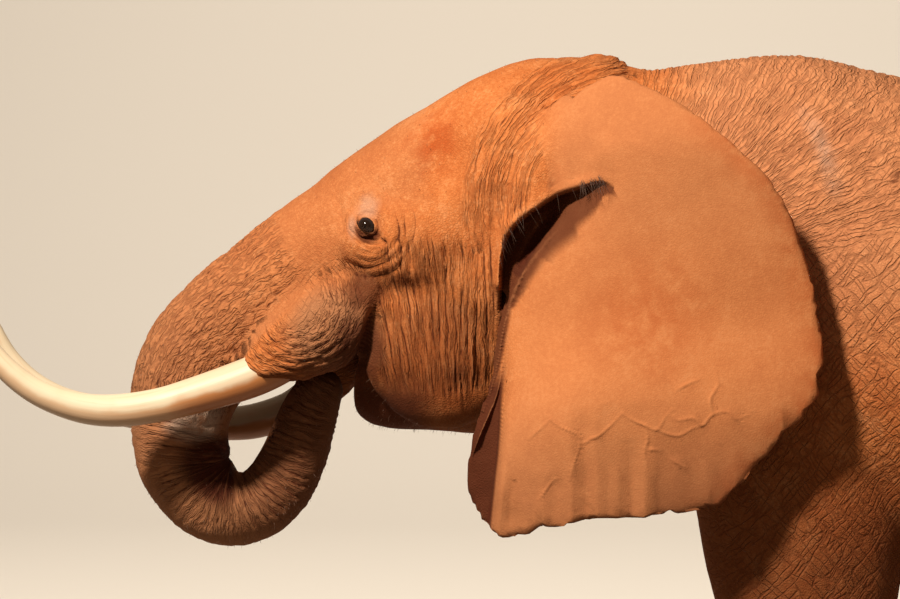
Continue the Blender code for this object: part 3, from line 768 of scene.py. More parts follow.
        inward = np.array(self.centre) - points[:, [0, 2]]
        inward /= np.linalg.norm(inward, axis=1)[:, None] + 1e-9
        ragged = 0.0030 * ramp(inset, 0.05, 0.0) * smooth_noise(np.stack([x, z], 1), 0.030, 8)
        push = ragged * ear * ramp(z, 2.80, 2.65)
        for nick_x, nick_z, wide, deep in self.nicks:
            push += ear * deep * bell(np.hypot(x - nick_x, z - nick_z), wide)
        moved[:, [0, 2]] += push[:, None] * inward
        return moved

    def lofts(self) -> list[Object]:
        """Both sheets and both roots.

        Returns:
            The objects.
        """
        made = []
        for side in SIDES.values():
            made.append(self.sheet(side))
            made.append(tube("ear_root", on_side(self.root, side), sides=16))
        return made


@dataclass
class Head:
    """Skull, jaw and the muscle over them, and the sheaths that hold the tusks."""

    skull: Rows = (
        (-0.50, 2.93, 2.38, 1.80, 0.30, 2.2), (-0.60, 2.995, 2.42, 1.80, 0.36, 2.2),
        (-0.72, 2.998, 2.44, 1.86, 0.385, 2.2), (-0.86, 2.985, 2.45, 1.93, 0.385, 2.25),
        (-1.00, 2.935, 2.44, 1.97, 0.365, 2.3), (-1.14, 2.855, 2.42, 1.99, 0.335, 2.3),
        (-1.28, 2.772, 2.40, 2.03, 0.300, 2.3), (-1.42, 2.678, 2.36, 2.06, 0.268, 2.2),
        (-1.54, 2.578, 2.30, 2.10, 0.232, 2.1), (-1.62, 2.510, 2.26, 2.14, 0.200, 2.0),
    )
    jaw: Rows = (
        (-0.85, 2.20, 2.02, 1.80, 0.22, 2.2), (-1.00, 2.20, 2.00, 1.800, 0.225, 2.2),
        (-1.14, 2.18, 1.98, 1.808, 0.200, 2.2), (-1.26, 2.14, 1.96, 1.810, 0.165, 2.2),
        (-1.34, 2.10, 1.95, 1.822, 0.125, 2.2), (-1.385, 2.04, 1.95, 1.850, 0.088, 2.2),
        (-1.405, 1.99, 1.935, 1.880, 0.055, 2.0),
    )
    sheath_left: Rows = (
        (-1.300, 0.190, 2.250, 0.125, 0.150), (-1.400, 0.200, 2.200, 0.128, 0.150),
        (-1.500, 0.212, 2.140, 0.120, 0.135), (-1.590, 0.224, 2.078, 0.104, 0.112),
        (-1.668, 0.235, 2.022, 0.084, 0.088), (-1.705, 0.240, 2.000, 0.071, 0.073),
    )
    sheath_right: Rows = (
        (-1.300, 0.200, 2.245, 0.120, 0.145), (-1.380, 0.210, 2.165, 0.116, 0.132),
        (-1.450, 0.220, 2.070, 0.105, 0.118), (-1.520, 0.230, 1.970, 0.094, 0.110),
        (-1.583, 0.238, 1.896, 0.080, 0.088), (-1.612, 0.241, 1.868, 0.069, 0.072),
    )
    nape: tuple = ((-0.635, 0.0, 2.72), (0.20, 0.26, 0.288))
    muscles: tuple = (
        ((-1.12, 0.20, 2.13), (0.26, 0.135, 0.30)),
        ((-1.16, 0.26, 2.42), (0.28, 0.105, 0.16)),
        ((-0.86, 0.25, 2.56), (0.24, 0.15, 0.33)),
    )

    def sheath(self, word: str) -> Rows:
        """The sheath's rows on that side."""
        return on_side(getattr(self, "sheath_" + word), SIDES[word])

    def lofts(self) -> list[Object]:
        """The overlapping shapes of the head.

        Returns:
            The objects.
        """
        made = [barrel("skull", self.skull), barrel("jaw_core", self.jaw), blob("nape", *self.nape)]
        for word, side in SIDES.items():
            made.append(tube("sheath", self.sheath(word)))
            for (x, y, z), radii in self.muscles:
                made.append(blob("muscle", (x, side * y, z), radii))
        return made


@dataclass
class Trunk:
    """The trunk's line from its root into the mouth: x, z, half width, half depth."""

    rows: Rows = (
        (-1.320, 2.430, 0.240, 0.240), (-1.445, 2.358, 0.236, 0.238),
        (-1.573, 2.284, 0.225, 0.228), (-1.676, 2.216, 0.215, 0.213),
        (-1.772, 2.148, 0.205, 0.204), (-1.850, 2.082, 0.196, 0.195),
        (-1.912, 2.010, 0.186, 0.186), (-1.950, 1.930, 0.175, 0.176),
        (-1.968, 1.845, 0.162, 0.160), (-1.980, 1.760, 0.147, 0.139),
        (-1.975, 1.685, 0.134, 0.124), (-1.938, 1.615, 0.124, 0.115),
        (-1.876, 1.560, 0.119, 0.112), (-1.796, 1.540, 0.115, 0.112),
        (-1.716, 1.562, 0.112, 0.112), (-1.656, 1.615, 0.109, 0.111),
        (-1.612, 1.690, 0.106, 0.107), (-1.580, 1.775, 0.101, 0.101),
        (-1.555, 1.850, 0.096, 0.094), (-1.530, 1.905, 0.088, 0.086),
        (-1.504, 1.948, 0.076, 0.072), (-1.486, 1.975, 0.058, 0.054),
        (-1.476, 1.990, 0.032, 0.030),
    )

    def lofts(self) -> list[Object]:
        """The trunk as one tube."""
        return [tube("trunk_core", [(x, 0.0, z, wide, deep) for x, z, wide, deep in self.rows], 28)]


@dataclass
class Region:
    """Skin whose creases run one way: its share at each vertex, and lengths across and along them.

    The pitch and the grain are the width and the length of its fine lines.
    """

    share: Array
    across: Array
    along: Array
    spacing: float
    length: float
    depth: float
    pitch: float
    grain: float


@dataclass
class Anatomy:
    """All the animal's measurements, and what can be worked out from them at any place."""

    torso: Torso = field(default_factory=Torso)
    legs: Legs = field(default_factory=Legs)
    ears: Ears = field(default_factory=Ears)
    head: Head = field(default_factory=Head)
    trunk: Trunk = field(default_factory=Trunk)
    neck_hub: tuple = (-0.60, 2.24)
    brow_hub: tuple = (-0.524, 2.531)
    muzzle_hub: tuple = (-1.560, 2.235)
    bend: tuple = (0.90, 1.42)

    def lofts(self) -> list[Object]:
        """Every overlapping shape that the skin is fused from."""
        parts = (self.torso, self.legs, self.ears, self.head, self.trunk)
        return [obj for part in parts for obj in part.lofts()]

    def along_trunk(self, points: Array) -> tuple[Array, Array, Array]:
        """Where points lie by the trunk.

        Args:
            points: the places asked about.

        Returns:
            Length down the trunk, distance from its line in radii, and the turn round it,
            which is 0 on the outer side of the bend and grows to pi on the inner one.
        """
        line = smooth_rows(self.trunk.rows, 10)
        down = np.zeros(len(points))
        radii = np.full(len(points), FAR)
        turn = np.zeros(len(points))
        near = np.flatnonzero(points[:, 0] < -1.15)
        spots = points[near][:, [0, 2]]
        best = nearest_rows(spots, line[:, :2])
        tangents = units(np.gradient(line[:, :2], axis=0))[best]
        away = spots - line[best, :2]
        outward = away[:, 0] * tangents[:, 1] - away[:, 1] * tangents[:, 0]
        down[near] = run_lengths(line[:, :2])[best] + (away * tangents).sum(axis=1)
        wide = points[near, 1] / line[best, 2]
        deep = outward / line[best, 3]
        radii[near] = np.hypot(wide, deep)
        turn[near] = np.arctan2(wide, deep)
        return down, radii, turn

    def bunched(self, points: Array, reach: float = 1.45) -> Array:
        """1 where the skin bunches up on the inner side of the trunk's bend, out to some radii.

        Args:
            points: places on the skin.
            reach: how many radii from the trunk's line it ends.

        Returns:
            A share from 0 to 1 for each place.
        """
        down, radii, turn = self.along_trunk(points)
        first, last = self.bend
        span = ramp(down, first, first + 0.12) * ramp(down, last, last - 0.16)
        return span * ramp(radii, reach, reach - 0.30) * ramp(np.abs(turn), 1.30, 2.60)

    def sheath_reach(self, points: Array) -> Array:
        """Distance from the line of the nearer tusk sheath, in its radii.

        Args:
            points: places on the skin.

        Returns:
            The distance for each place, large far from the head.
        """
        reach = np.full(len(points), FAR)
        near = np.flatnonzero((points[:, 0] < -1.15) & (points[:, 2] > 1.7))
        for word in SIDES:
            line = smooth_rows(self.head.sheath(word), 6)
            best = nearest_rows(points[near], line[:, :3])
            gaps = np.linalg.norm(points[near] - line[best, :3], axis=1)
            reach[near] = np.minimum(reach[near], gaps / line[best, 4])
        return reach

    def ear_share(self, points: Array) -> tuple[Array, Array]:
        """How surely a point is on an ear's sheet, and its distance in from the ear's edge.

        Args:
            points: places on the skin.

        Returns:
            The share for each place, and the distance.
        """
        outer = np.abs(points[:, 1])
        x, z = points[:, 0], points[:, 2]
        off = np.abs(outer - self.ears.depth(x, z))
        share = ramp(off, 0.050, 0.030) * ramp(x, -1.06, -1.03)
        share = share * (x < 0.10) * (z > 1.50) * (z < 3.0)
        share = share * ramp(x - self.ears.lead(z), -0.05, 0.10)
        inset = np.zeros(len(points))
        chosen = np.flatnonzero(share > 0.01)
        spots = points[chosen][:, [0, 2]]
        edge = self.ears.edge(6)
        inset[chosen] = np.linalg.norm(spots - edge[nearest_rows(spots, edge)], axis=1)
        return share, inset

    def regions(self, points: Array, ear: Array) -> list[Region]:
        """The regions whose creases have a direction of their own.

        Args:
            points: places on the skin.
            ear: how surely each is on an ear.

        Returns:
            The regions, in a fixed order.
        """
        x, z = points[:, 0], points[:, 2]
        outer = np.abs(points[:, 1])
        off_ear = 1 - ease(ear * 3)
        down, radii, turn = self.along_trunk(points)
        reach = self.sheath_reach(points)
        sheath = ramp(reach, 1.30, 1.08) * ramp(outer, 0.09, 0.15) * ramp(x, -1.28, -1.40)
        trunk = ramp(radii, 1.45, 1.20) * (1 - sheath) * ramp(np.abs(turn), 3.05, 2.75)
        upper = trunk * ramp(down, 0.12, 0.34) * ramp(down, 0.95, 0.84)
        lower = trunk * ramp(down, 0.84, 0.95) * (0.40 + 0.60 * ramp(np.abs(turn), 0.5, 1.3))

        hub_x, hub_z = self.muzzle_hub
        ring = np.hypot(x - hub_x, z - hub_z)
        angle = np.arctan2(z - hub_z, x - hub_x)
        sheath_folds = sheath * ramp(np.cos(angle + 0.8), -0.35, 0.15) * ramp(ring, 0.04, 0.10)

        lean = 0.16 * (2.42 - z) * ramp(x, -0.98, -1.22)
        cheek = (ramp(x, -1.335, -1.285) * ramp(x, -0.90, -0.98) * ramp(z, 1.88, 2.02)
                 * ramp(z, 2.50, 2.38) * ramp(outer, 0.10, 0.17) * off_ear * (1 - sheath))

        brow_x, brow_z = self.brow_hub
        brow_ring = np.hypot(x - brow_x, z - brow_z)
        brow_angle = np.arctan2(z - brow_z, x - brow_x) % (2 * np.pi)
        brow = (ramp(brow_ring, 0.28, 0.33) * ramp(brow_ring, 0.56, 0.50)
                * (1 - ease(ear * 1.3)) * ramp(brow_angle, 1.45, 1.65)
                * ramp(brow_angle, 3.55, 3.2) * ramp(x, -0.45, -0.52))

        neck_x, neck_z = self.neck_hub
        fan = np.arctan2(z - neck_z, x - neck_x)
        reach_neck = np.hypot(x - neck_x, z - neck_z)
        neck = (ramp(x, -0.56, -0.48) * ramp(reach_neck, 0.40, 0.52) * ramp(reach_neck, 1.45, 1.15)
                * ramp(fan, 0.10, 0.35) * off_ear * (1 - ease(brow * 2)))
        return [
            Region(upper, turn * 0.19, down, 0.024, 0.075, 0.0070, 0.0150, 0.050),
            Region(lower, down, turn * 0.13, 0.026, 0.34, 0.0085, 0.0130, 0.140),
            Region(sheath_folds, ring, angle * 0.20, 0.026, 0.13, 0.0090, 0.0130, 0.070),
            Region(cheek, x - lean, z, 0.027, 0.40, 0.0130, 0.0130, 0.200),
            Region(brow, brow_ring, brow_angle * 0.45, 0.024, 0.50, 0.0075, 0.0120, 0.150),
            Region(neck, fan * 0.85, reach_neck, 0.024, 0.34, 0.0048, 0.0150, 0.110),
        ]


def furrow_depth(edge: Array, width: float = 0.60) -> Array:
    """Depth of a groove, 1 at its bottom, from the distance to a cell's border."""
    return (1 - np.clip(edge / width, 0, 1)) ** 1.6


def crease_frame(regions: Sequence[Region]) -> tuple[Array, Array, Array]:
    """Places across and along the fine lines of each vertex's own region, and how much they count.

    Args:
        regions: the regions.

    Returns:
        Across, along, and a share that is 0 where two regions meet or none holds.
    """
    shares = np.stack([region.share for region in regions])
    order = np.sort(shares, axis=0)
    best = shares.argmax(axis=0)
    pick = np.arange(shares.shape[1])
    across = np.stack([region.across / region.pitch for region in regions])[best, pick]
    along = np.stack([region.along / region.grain for region in regions])[best, pick]
    return across, along + 3.0 * best, ramp(order[-1] - order[-2], 0.45, 0.85)


def beside(points: Array, path: Rows, reach: float = 0.25) -> tuple[Array, Array]:
    """How far along a path in the x, z plane each point is, and how far to its left.

    Args:
        points: places in space.
        path: the path's corners as x, z.
        reach: distance beyond which a point isn't measured.

    Returns:
        The share of the path from 0 to 1, and the signed distance, or reach beyond it.
    """
    line = smooth_rows(path, 8)
    lengths = run_lengths(line)
    share = np.zeros(len(points))
    aside = np.full(len(points), reach)
    spots = points[:, [0, 2]]
    low, high = line.min(axis=0) - reach, line.max(axis=0) + reach
    chosen = np.flatnonzero(in_box(spots, low, high))
    nearest = nearest_rows(spots[chosen], line)
    following, before = np.minimum(nearest + 1, len(line) - 1), np.maximum(nearest - 1, 0)
    ahead = units(line[following] - line[before])
    gap = spots[chosen] - line[nearest]
    sign = np.where(gap[:, 1] * ahead[:, 0] - gap[:, 0] * ahead[:, 1] > 0, 1.0, -1.0)
    share[chosen] = lengths[nearest] / lengths[-1]
    aside[chosen] = sign * np.minimum(np.linalg.norm(gap, axis=1), reach)
    return share, aside


def along_path(share: Array, stops: Rows) -> Array:
    """A value that changes along a path, from stops of share and value."""
    table = np.array(stops)
    return np.interp(share, table[:, 0], table[:, 1])


@dataclass
class Eyelids:
    """The lids: an almond opening over the ball, its rim, and the creases round it.

    creases: distance from the opening, and depth.
    """

    centre: tuple = EYE_CENTRE
    radius: float = EYE_RADIUS
    half_long: float = 0.0275
    half_short: float = 0.0155
    half_low: float = 0.0240
    slant: float = -0.60
    hood: float = 0.0075
    rim: float = 0.0038
    rim_width: float = 0.005
    reach: float = 0.085
    creases: tuple = ((0.0105, 0.0028), (0.0190, 0.0036), (0.0290, 0.0034), (0.041, 0.0026))
    crease_width: float = 0.0022
    facing: tuple = (-0.22, 0.97, 0.06)

    def frame(self, side: int) -> tuple[Array, Array, Array, Array]:
        """Centre, outward direction, and the long and short directions of the opening.

        Args:
            side: -1 left, +1 right.

        Returns:
            The centre and the three directions.
        """
        x, y, z = self.centre
        out = Vector((self.facing[0], side * self.facing[1], self.facing[2])).normalized()
        long = Vector((math.cos(self.slant), 0, math.sin(self.slant)))
        long = (long - out * long.dot(out)).normalized()
        short = Vector(np.cross(long, out)) * -side
        return (np.array((x, side * y, z)), np.array(out), np.array(long), np.array(short))

    def shape(self, points: Array) -> Array:
        """The points with the lids of both eyes raised over the balls.

        Args:
            points: places on the skin.

        Returns:
            The moved points.
        """
        moved = points.copy()
        for side in SIDES.values():
            centre, out, long, short = self.frame(side)
            away = moved - centre
            height = away @ out
            p, q = away @ long, away @ short
            flat = np.hypot(p, q)
            near = (flat < self.reach) & (np.abs(height) < 0.10)
            p, q, flat, height = p[near], q[near], flat[near], height[near]
            upper = q > 0
            short_half = np.where(upper, self.half_short, self.half_low)
            opening = (np.hypot(p / self.half_long, q / short_half) - 1) * short_half
            ball = np.sqrt(np.maximum(self.radius ** 2 - flat ** 2, 0.0))
            inner = np.minimum(ball - 0.010, 0.010)
            lip = np.sqrt(np.maximum((self.radius + self.rim) ** 2 - flat ** 2, 0.0))
            blend = ramp(opening, 0.002, 0.050)
            outer = np.maximum(lip, 0) * (1 - blend) + height * blend
            outer = np.maximum(outer, np.minimum(height, lip + 0.004))
            creases = np.zeros_like(outer)
            for place, depth in self.creases:
                bend = self.crease_width * np.sin(p * 90 + place * 400)
                creases += depth * bell(opening - place - bend, self.crease_width)
            hood = self.hood * bell(opening - 0.017, 0.013) * ramp(q, 0.002, 0.012)
            outer = outer + hood - creases * np.where(upper, 1.35, 0.75)
            wall = ramp(opening, -0.0015, self.rim_width * 0.5)
            target = inner * (1 - wall) + outer * wall
            moved[near] += (target - height)[:, None] * out
        return moved


@dataclass
class Skin:
    """The whole skin: fused from the lofts, folded like the animal's, and thinned.

    shares: a box, by its corners, and about how many triangles stay in it.
    dabs: place, reach and push of a soft swelling or dent, on the left side.
    pouches: distance from the eye and depth of a fold below it.
    orbit: path in the x, z plane, depth and width of a fold round the eye.
    lip_ends: how far forward the lip reaches above each tusk, and beneath it.
    """

    anatomy: Anatomy
    lids: Eyelids = field(default_factory=Eyelids)
    voxel: float = 0.015
    rounds: int = 40
    blur: int = 7
    full_hollow: float = 0.0040
    bunch: float = 0.042
    eye_zone: float = 1.25
    shares: tuple = (
        ((-9.0, -2.0, 1.45), (0.45, 0.02, 9.0), 83000),
        ((-9.0, 0.02, 1.45), (0.45, 2.0, 9.0), 59000),
        ((0.45, -2.0, -1.0), (9.0, 2.0, 9.0), 35500),
        ((-9.0, -2.0, -1.0), (0.45, 2.0, 1.45), 19000),
    )
    dabs: tuple = (
        (-1.10, 0.33, 2.70, 0.17, 0.0, -0.030, -0.010),
        (-1.338, 0.29, 2.476, 0.075, 0.0, -0.012, 0.0),
        (-1.36, 0.27, 2.57, 0.09, 0.0, 0.016, 0.0),
        (-0.86, 0.40, 2.42, 0.10, 0.0, -0.03, 0.0),
        (-1.30, 0.26, 2.18, 0.08, 0.0, -0.020, 0.0),
    )
    mouth: tuple = ((-1.300, 2.300), (-1.315, 2.205), (-1.345, 2.100), (-1.405, 1.985))
    pouches: tuple = ((0.078, 0.004), (0.098, 0.006), (0.121, 0.006), (0.148, 0.005))
    orbit: tuple = (
        (((-1.404, 2.490), (-1.402, 2.555), (-1.372, 2.602), (-1.330, 2.608), (-1.290, 2.580),
          (-1.268, 2.530), (-1.262, 2.480)), 0.0090, 0.0080),
        (((-1.500, 2.680), (-1.468, 2.615), (-1.445, 2.555), (-1.428, 2.500), (-1.418, 2.440)),
         0.0090, 0.0110),
        (((-1.372, 2.556), (-1.343, 2.544), (-1.316, 2.514), (-1.306, 2.480)), 0.0050, 0.0032),
        (((-1.362, 2.576), (-1.330, 2.560), (-1.300, 2.520)), 0.0050, 0.0036),
        (((-1.375, 2.534), (-1.349, 2.526), (-1.326, 2.504)), 0.0042, 0.0028),
        (((-1.250, 2.540), (-1.238, 2.460), (-1.232, 2.390), (-1.248, 2.320)), 0.0060, 0.0055),
        (((-1.222, 2.500), (-1.212, 2.420), (-1.205, 2.350), (-1.222, 2.270)), 0.0060, 0.0055),
    )
    lip_ends: dict = field(default_factory=lambda: {
        "left": (-1.775, -1.605), "right": (-1.660, -1.560)})

    def even_out(self, obj: Object) -> None:
        """Rounds off creases without thinning the body; the tail and the ears change little.

        Args:
            obj: the fused body.
        """
        mesh = obj.data
        points = points_of(mesh)
        slight = (points[:, 0] > 2.19) | (np.abs(points[:, 1]) > 0.50) & (points[:, 0] < 0.07)
        slight |= (points[:, 0] < -1.60) & (points[:, 2] < 2.0)
        strength = np.where(slight, 0.3, 1.0)[:, None]
        rounded(points, edges_of(mesh), strength, self.rounds)
        for x, y, z, reach, push_x, push_y, push_z in self.dabs:
            for side in SIDES.values():
                away = points - np.array((x, side * y, z))
                near = np.clip(1 - (away ** 2).sum(axis=1) / reach ** 2, 0, 1) ** 2
                points += near[:, None] * np.array((push_x, side * push_y, push_z))
        put_points(mesh, points)

    def refine(self, obj: Object, chosen: Array, rounds: int) -> None:
        """Splits the edges between chosen vertices once, and rounds the new surface.

        Args:
            obj: the body.
            chosen: True for each vertex of the part.
            rounds: how often the part is smoothed.
        """
        work = bmesh.new()
        work.from_mesh(obj.data)
        picked = [edge for edge in work.edges
                  if chosen[edge.verts[0].index] and chosen[edge.verts[1].index]]
        bmesh.ops.subdivide_edges(work, edges=picked, cuts=1, use_grid_fill=True)
        work.to_mesh(obj.data)
        work.free()
        points = points_of(obj.data)
        moving = np.ones(len(points))
        moving[:len(chosen)] = chosen
        rounded(points, edges_of(obj.data), moving[:, None], rounds)
        put_points(obj.data, points)

    def blank(self) -> Object:
        """The fused body with no folds, fine enough to take them.

        Returns:
            The body.
        """
        body = joined("skin", self.anatomy.lofts())
        fuse = body.modifiers.new("fuse", "REMESH")
        fuse.mode = "VOXEL"
        fuse.voxel_size = self.voxel
        settle(body)
        self.even_out(body)
        finer = body.modifiers.new("finer", "SUBSURF")
        finer.levels = finer.render_levels = 1
        settle(body)
        points = points_of(body.data)
        x, z = points[:, 0], points[:, 2]
        ear, _ = self.anatomy.ear_share(points)
        wrinkled = (x < 0.25) & (z > 1.50) & (ear < 0.4) & ((x < -0.45) | (z > 2.25))
        stand = np.abs(points[:, 1]) - self.anatomy.ears.depth(x, z)
        veined = in_box(points[:, [0, 2]], (-0.95, 1.56), (-0.10, 2.07))
        wrinkled |= (ear > 0.5) & (stand > -0.01) & veined
        _, aside = beside(points, self.anatomy.ears.rim, 0.05)
        wrinkled |= (np.abs(stand) < 0.06) & (np.abs(aside) < 0.022)
        self.refine(body, wrinkled, 3)
        points = points_of(body.data)
        x, y, z = self.lids.centre
        outer = np.stack([points[:, 0] - x, np.abs(points[:, 1]) - y, points[:, 2] - z], 1)
        self.refine(body, np.linalg.norm(outer, axis=1) < self.lids.reach * self.eye_zone, 2)
        return body

    def mouth_corner(self, points: Array) -> Array:
        """How far the skin sinks at the corner of the mouth.

        Args:
            points: places on the skin.

        Returns:
            The depth for each place.
        """
        share, aside = beside(points, self.mouth, 0.08)
        ends = ramp(share, 0.0, 0.40) * ramp(share, 1.0, 0.85)
        return 0.036 * ends * bell(aside, 0.018) * ramp(np.abs(points[:, 1]), 0.08, 0.14)

    def fold(self, points: Array, normals: Array) -> Array:
        """The points moved by every fold and form that the skin carries.

        Args:
            points: places on the blank skin.
            normals: directions out of it.

        Returns:
            The moved points.
        """
        ear, inset = self.anatomy.ear_share(points)
        regions = self.anatomy.regions(points, ear)
        lift = 0.0045 * smooth_noise(points, 0.24, 1) + 0.0022 * smooth_noise(points, 0.075, 2)
        lift *= 1 - 0.8 * ear
        warp = 0.0060 * smooth_noise(points, 0.060, 3) + 0.0022 * smooth_noise(points, 0.022, 4)
        swell = 0.75 + 0.45 * smooth_noise(points, 0.11, 7)
        for number, region in enumerate(regions):
            held = np.flatnonzero(region.share > 0.01)
            edge = furrows(region.across[held] + warp[held], region.along[held],
                           region.spacing, region.length, 20 + number)
            depth = furrow_depth(edge) * region.depth * region.share[held] * swell[held]
            lift[held] -= depth
            finer = furrows(region.across[held] + 0.5 * warp[held], region.along[held],
                            region.spacing * 0.5, region.length * 0.45, 40 + number)
            lift[held] -= 0.28 * furrow_depth(finer) * region.depth * region.share[held]
        lift += self.bunch * self.anatomy.bunched(points)
        lift -= self.leg_rings(points) + self.eye_arcs(points)
        lift -= self.mouth_corner(points)
        moved = self.tusk_lips(points + lift[:, None] * normals)
        return self.lids.shape(self.anatomy.ears.shaped(moved, ear, inset))

    def leg_rings(self, points: Array) -> Array:
        """Level creases round the legs, deepest at the joints.

        Args:
            points: places on the skin.

        Returns:
            The depth for each place.
        """
        x, y, z = points.T
        held = ramp(z, 1.35, 1.05) * ramp(z, 0.05, 0.12) * (x > -0.6)
        joint = 0.35 + bell(z - 0.62, 0.16) + bell(z - 0.20, 0.10)
        turn = np.arctan2(np.abs(y) - 0.33, x - np.where(x > 0.8, 1.62, 0.05))
        edge = furrows(z + 0.006 * smooth_noise(points, 0.09, 9), turn * 0.16, 0.048, 0.17, 60)
        return 0.0026 * furrow_depth(edge) * held * joint

    def eye_arcs(self, points: Array) -> Array:
        """How far the skin sinks in the folds round each eye.

        Args:
            points: places on the skin.

        Returns:
            The depth for each place.
        """
        x, _, z = self.lids.centre
        outer = ramp(np.abs(points[:, 1]), 0.15, 0.22)
        ring = np.hypot(points[:, 0] - x, (points[:, 2] - z) * 0.92)
        angle = np.arctan2(points[:, 2] - z, points[:, 0] - x)
        held = ramp(np.cos(angle + 0.75), 0.15, 0.55)
        sink = np.zeros(len(points))
        for place, depth in self.pouches:
            wave = place + 0.004 * np.sin(5 * angle + 90 * place)
            sink += depth * bell(ring - wave, 0.0048) * held
        for path, depth, width in self.orbit:
            share, aside = beside(points, path, 0.05)
            sink += depth * bell(aside, width) * arch(share) ** 0.6
        return sink * outer

    def tusk_lips(self, points: Array) -> Array:
        """The points drawn in against each tusk, along a lip that slants back beneath it.

        Args:
            points: places on the skin.

        Returns:
            The moved points.
        """
        moved = points.copy()
        for word, side in SIDES.items():
            line = smooth_rows(getattr(Tusks, word), 6)
            line[:, 1] *= side
            near = np.flatnonzero((points[:, 0] < -1.46) & (points[:, 0] > -1.80)
                                  & (points[:, 1] * side > 0.10) & (points[:, 2] < 2.30))
            best = nearest_rows(points[near], line[:, :3])
            ahead = units(np.gradient(line[:, :3], axis=0)[best])
            away = points[near] - line[best, :3]
            slide = (away * ahead).sum(axis=1)[:, None] * ahead
            away -= slide
            reach = np.maximum(np.linalg.norm(away, axis=1), 1e-6)
            top, back = self.lip_ends[word]
            lip = top + (back - top) * ramp(-away[:, 2] / reach, -0.5, 0.9)
            closing = ramp(points[near, 0], lip + 0.075, lip) * ramp(reach, 0.110, 0.095)
            closing *= ramp(points[near, 1] * side, 0.170, 0.195)
            target = np.minimum(reach, line[best, 3] * 0.86)
            scale = (reach + (target - reach) * closing) / reach
            moved[near] = line[best, :3] + slide + away * scale[:, None]
        return moved

    def thin_part(self, body: Object, low: Sequence[float], high: Sequence[float],
                  triangles: int) -> None:
        """Thins what lies in one box to about that many triangles, and leaves the rest alone.

        Args:
            body: the object.
            low: lowest corner of the box.
            high: highest corner.
            triangles: how many stay in the box.
        """
        points = points_of(body.data)
        inside = in_box(points, low, high)
        free = inside & ~self.anatomy.ears.kept(points)
        counts = read(body.data.polygons, "loop_total", kind=np.int32) - 2
        starts = read(body.data.polygons, "loop_start", kind=np.int32)
        corners = read(body.data.loops, "vertex_index", kind=np.int32)
        held = counts[inside[corners[starts]]].sum()
        total = counts.sum()
        group = body.vertex_groups.new(name="free")
        group.add(np.flatnonzero(free).tolist(), 1.0, "REPLACE")
        thin = body.modifiers.new("thin", "DECIMATE")
        thin.vertex_group = group.name
        thin.ratio = (total - held + triangles) / total
        thin.use_collapse_triangulate = True
        settle(body)
        body.vertex_groups.clear()

    def thinned(self, body: Object) -> tuple[Array, Array]:
        """Thins the mesh and cuts the soles level; returns the fine points and their hollowness.

        Args:
            body: the folded skin, which is changed.

        Returns:
            The places of the fine mesh, and how far each lies in a hollow.
        """
        fine = points_of(body.data)
        normals = points_of(body.data, "normal")
        edges = edges_of(body.data)
        blurred = fine
        for _ in range(self.blur):
            blurred = average_over(blurred, edges)
        hollow = ((blurred - fine) * normals).sum(axis=1)
        for low, high, share in self.shares:
            self.thin_part(body, low, high, share)
        work = bmesh.new()
        work.from_mesh(body.data)
        everything = work.verts[:] + work.edges[:] + work.faces[:]
        cut = bmesh.ops.bisect_plane(work, geom=everything, plane_co=(0, 0, 0),
                                     plane_no=(0, 0, 1), clear_inner=True)["geom_cut"]
        rim = [item for item in cut if isinstance(item, bmesh.types.BMEdge)]
        bmesh.ops.holes_fill(work, edges=rim, sides=0)
        bmesh.ops.triangulate(work, faces=work.faces)
        work.to_mesh(body.data)
        work.free()
        return fine, hollow

    def mark(self, body: Object, fine: Array, hollow: Array) -> None:
        """Stores what the skin's finish needs to know at each vertex.

        Args:
            body: the thinned skin.
            fine: places of the fine mesh.
            hollow: how far each of them lies in a hollow.
        """
        mesh = body.data
        points = points_of(mesh)
        normals = points_of(mesh, "normal")
        tree = KDTree(len(fine))
        for index, spot in enumerate(fine):
            tree.insert(spot, index)
        tree.balance()
        nearest = np.array([tree.find(spot)[1] for spot in points])
        # The hollow measure sets the shade painted into folds; it is held low above the eye.
        calm = 1 - 0.8 * patch(points, (-1.330, 2.575), (0.200, 0.130), 0.8)
        write_attribute(mesh, "hollow", np.clip(hollow[nearest] / self.full_hollow, -1, 1) * calm)
        ear, inset = self.anatomy.ear_share(points)
        across, along, share = crease_frame(self.anatomy.regions(points, ear))
        creases = {"across": across, "along": along, "creased": share.copy(), "ear": ear}
        netted = 0.15 + 0.85 * ramp(points[:, 0], -0.55, -0.10)
        netted = np.maximum(netted, 0.8 * patch(points, (-1.48, 2.22), (0.20, 0.20)))
        share *= 1 - 0.35 * ramp(points[:, 0], -0.50, -0.30)
        creases["netted"] = netted * (1 - 0.65 * share)
        marks = skin_marks(points, normals, self.anatomy, ear, inset)
        for name, values in (creases | marks).items():
            write_attribute(mesh, name, values)

    def build(self) -> Object:
        """The finished skin, in the maker's frame.

        Returns:
            The object.
        """
        body = self.blank()
        LOG.info("blank skin: %d vertices", len(body.data.vertices))
        put_points(body.data, self.fold(points_of(body.data), points_of(body.data, "normal")))
        fine, hollow = self.thinned(body)
        self.mark(body, fine, hollow)
        LOG.info("skin: %d triangles", len(body.data.polygons))
        body.data.shade_smooth()
        return body


def patch(points: Array, centre: Sequence[float], radii: Sequence[float],
          soft: float = 0.5) -> Array:
    """1 inside an ellipse in the x, z plane, fading to 0 at its rim."""
    reach = np.hypot(*((points[:, [0, 2]] - np.array(centre)) / np.array(radii)).T)
    return ramp(reach, 1.0, 1.0 - soft)


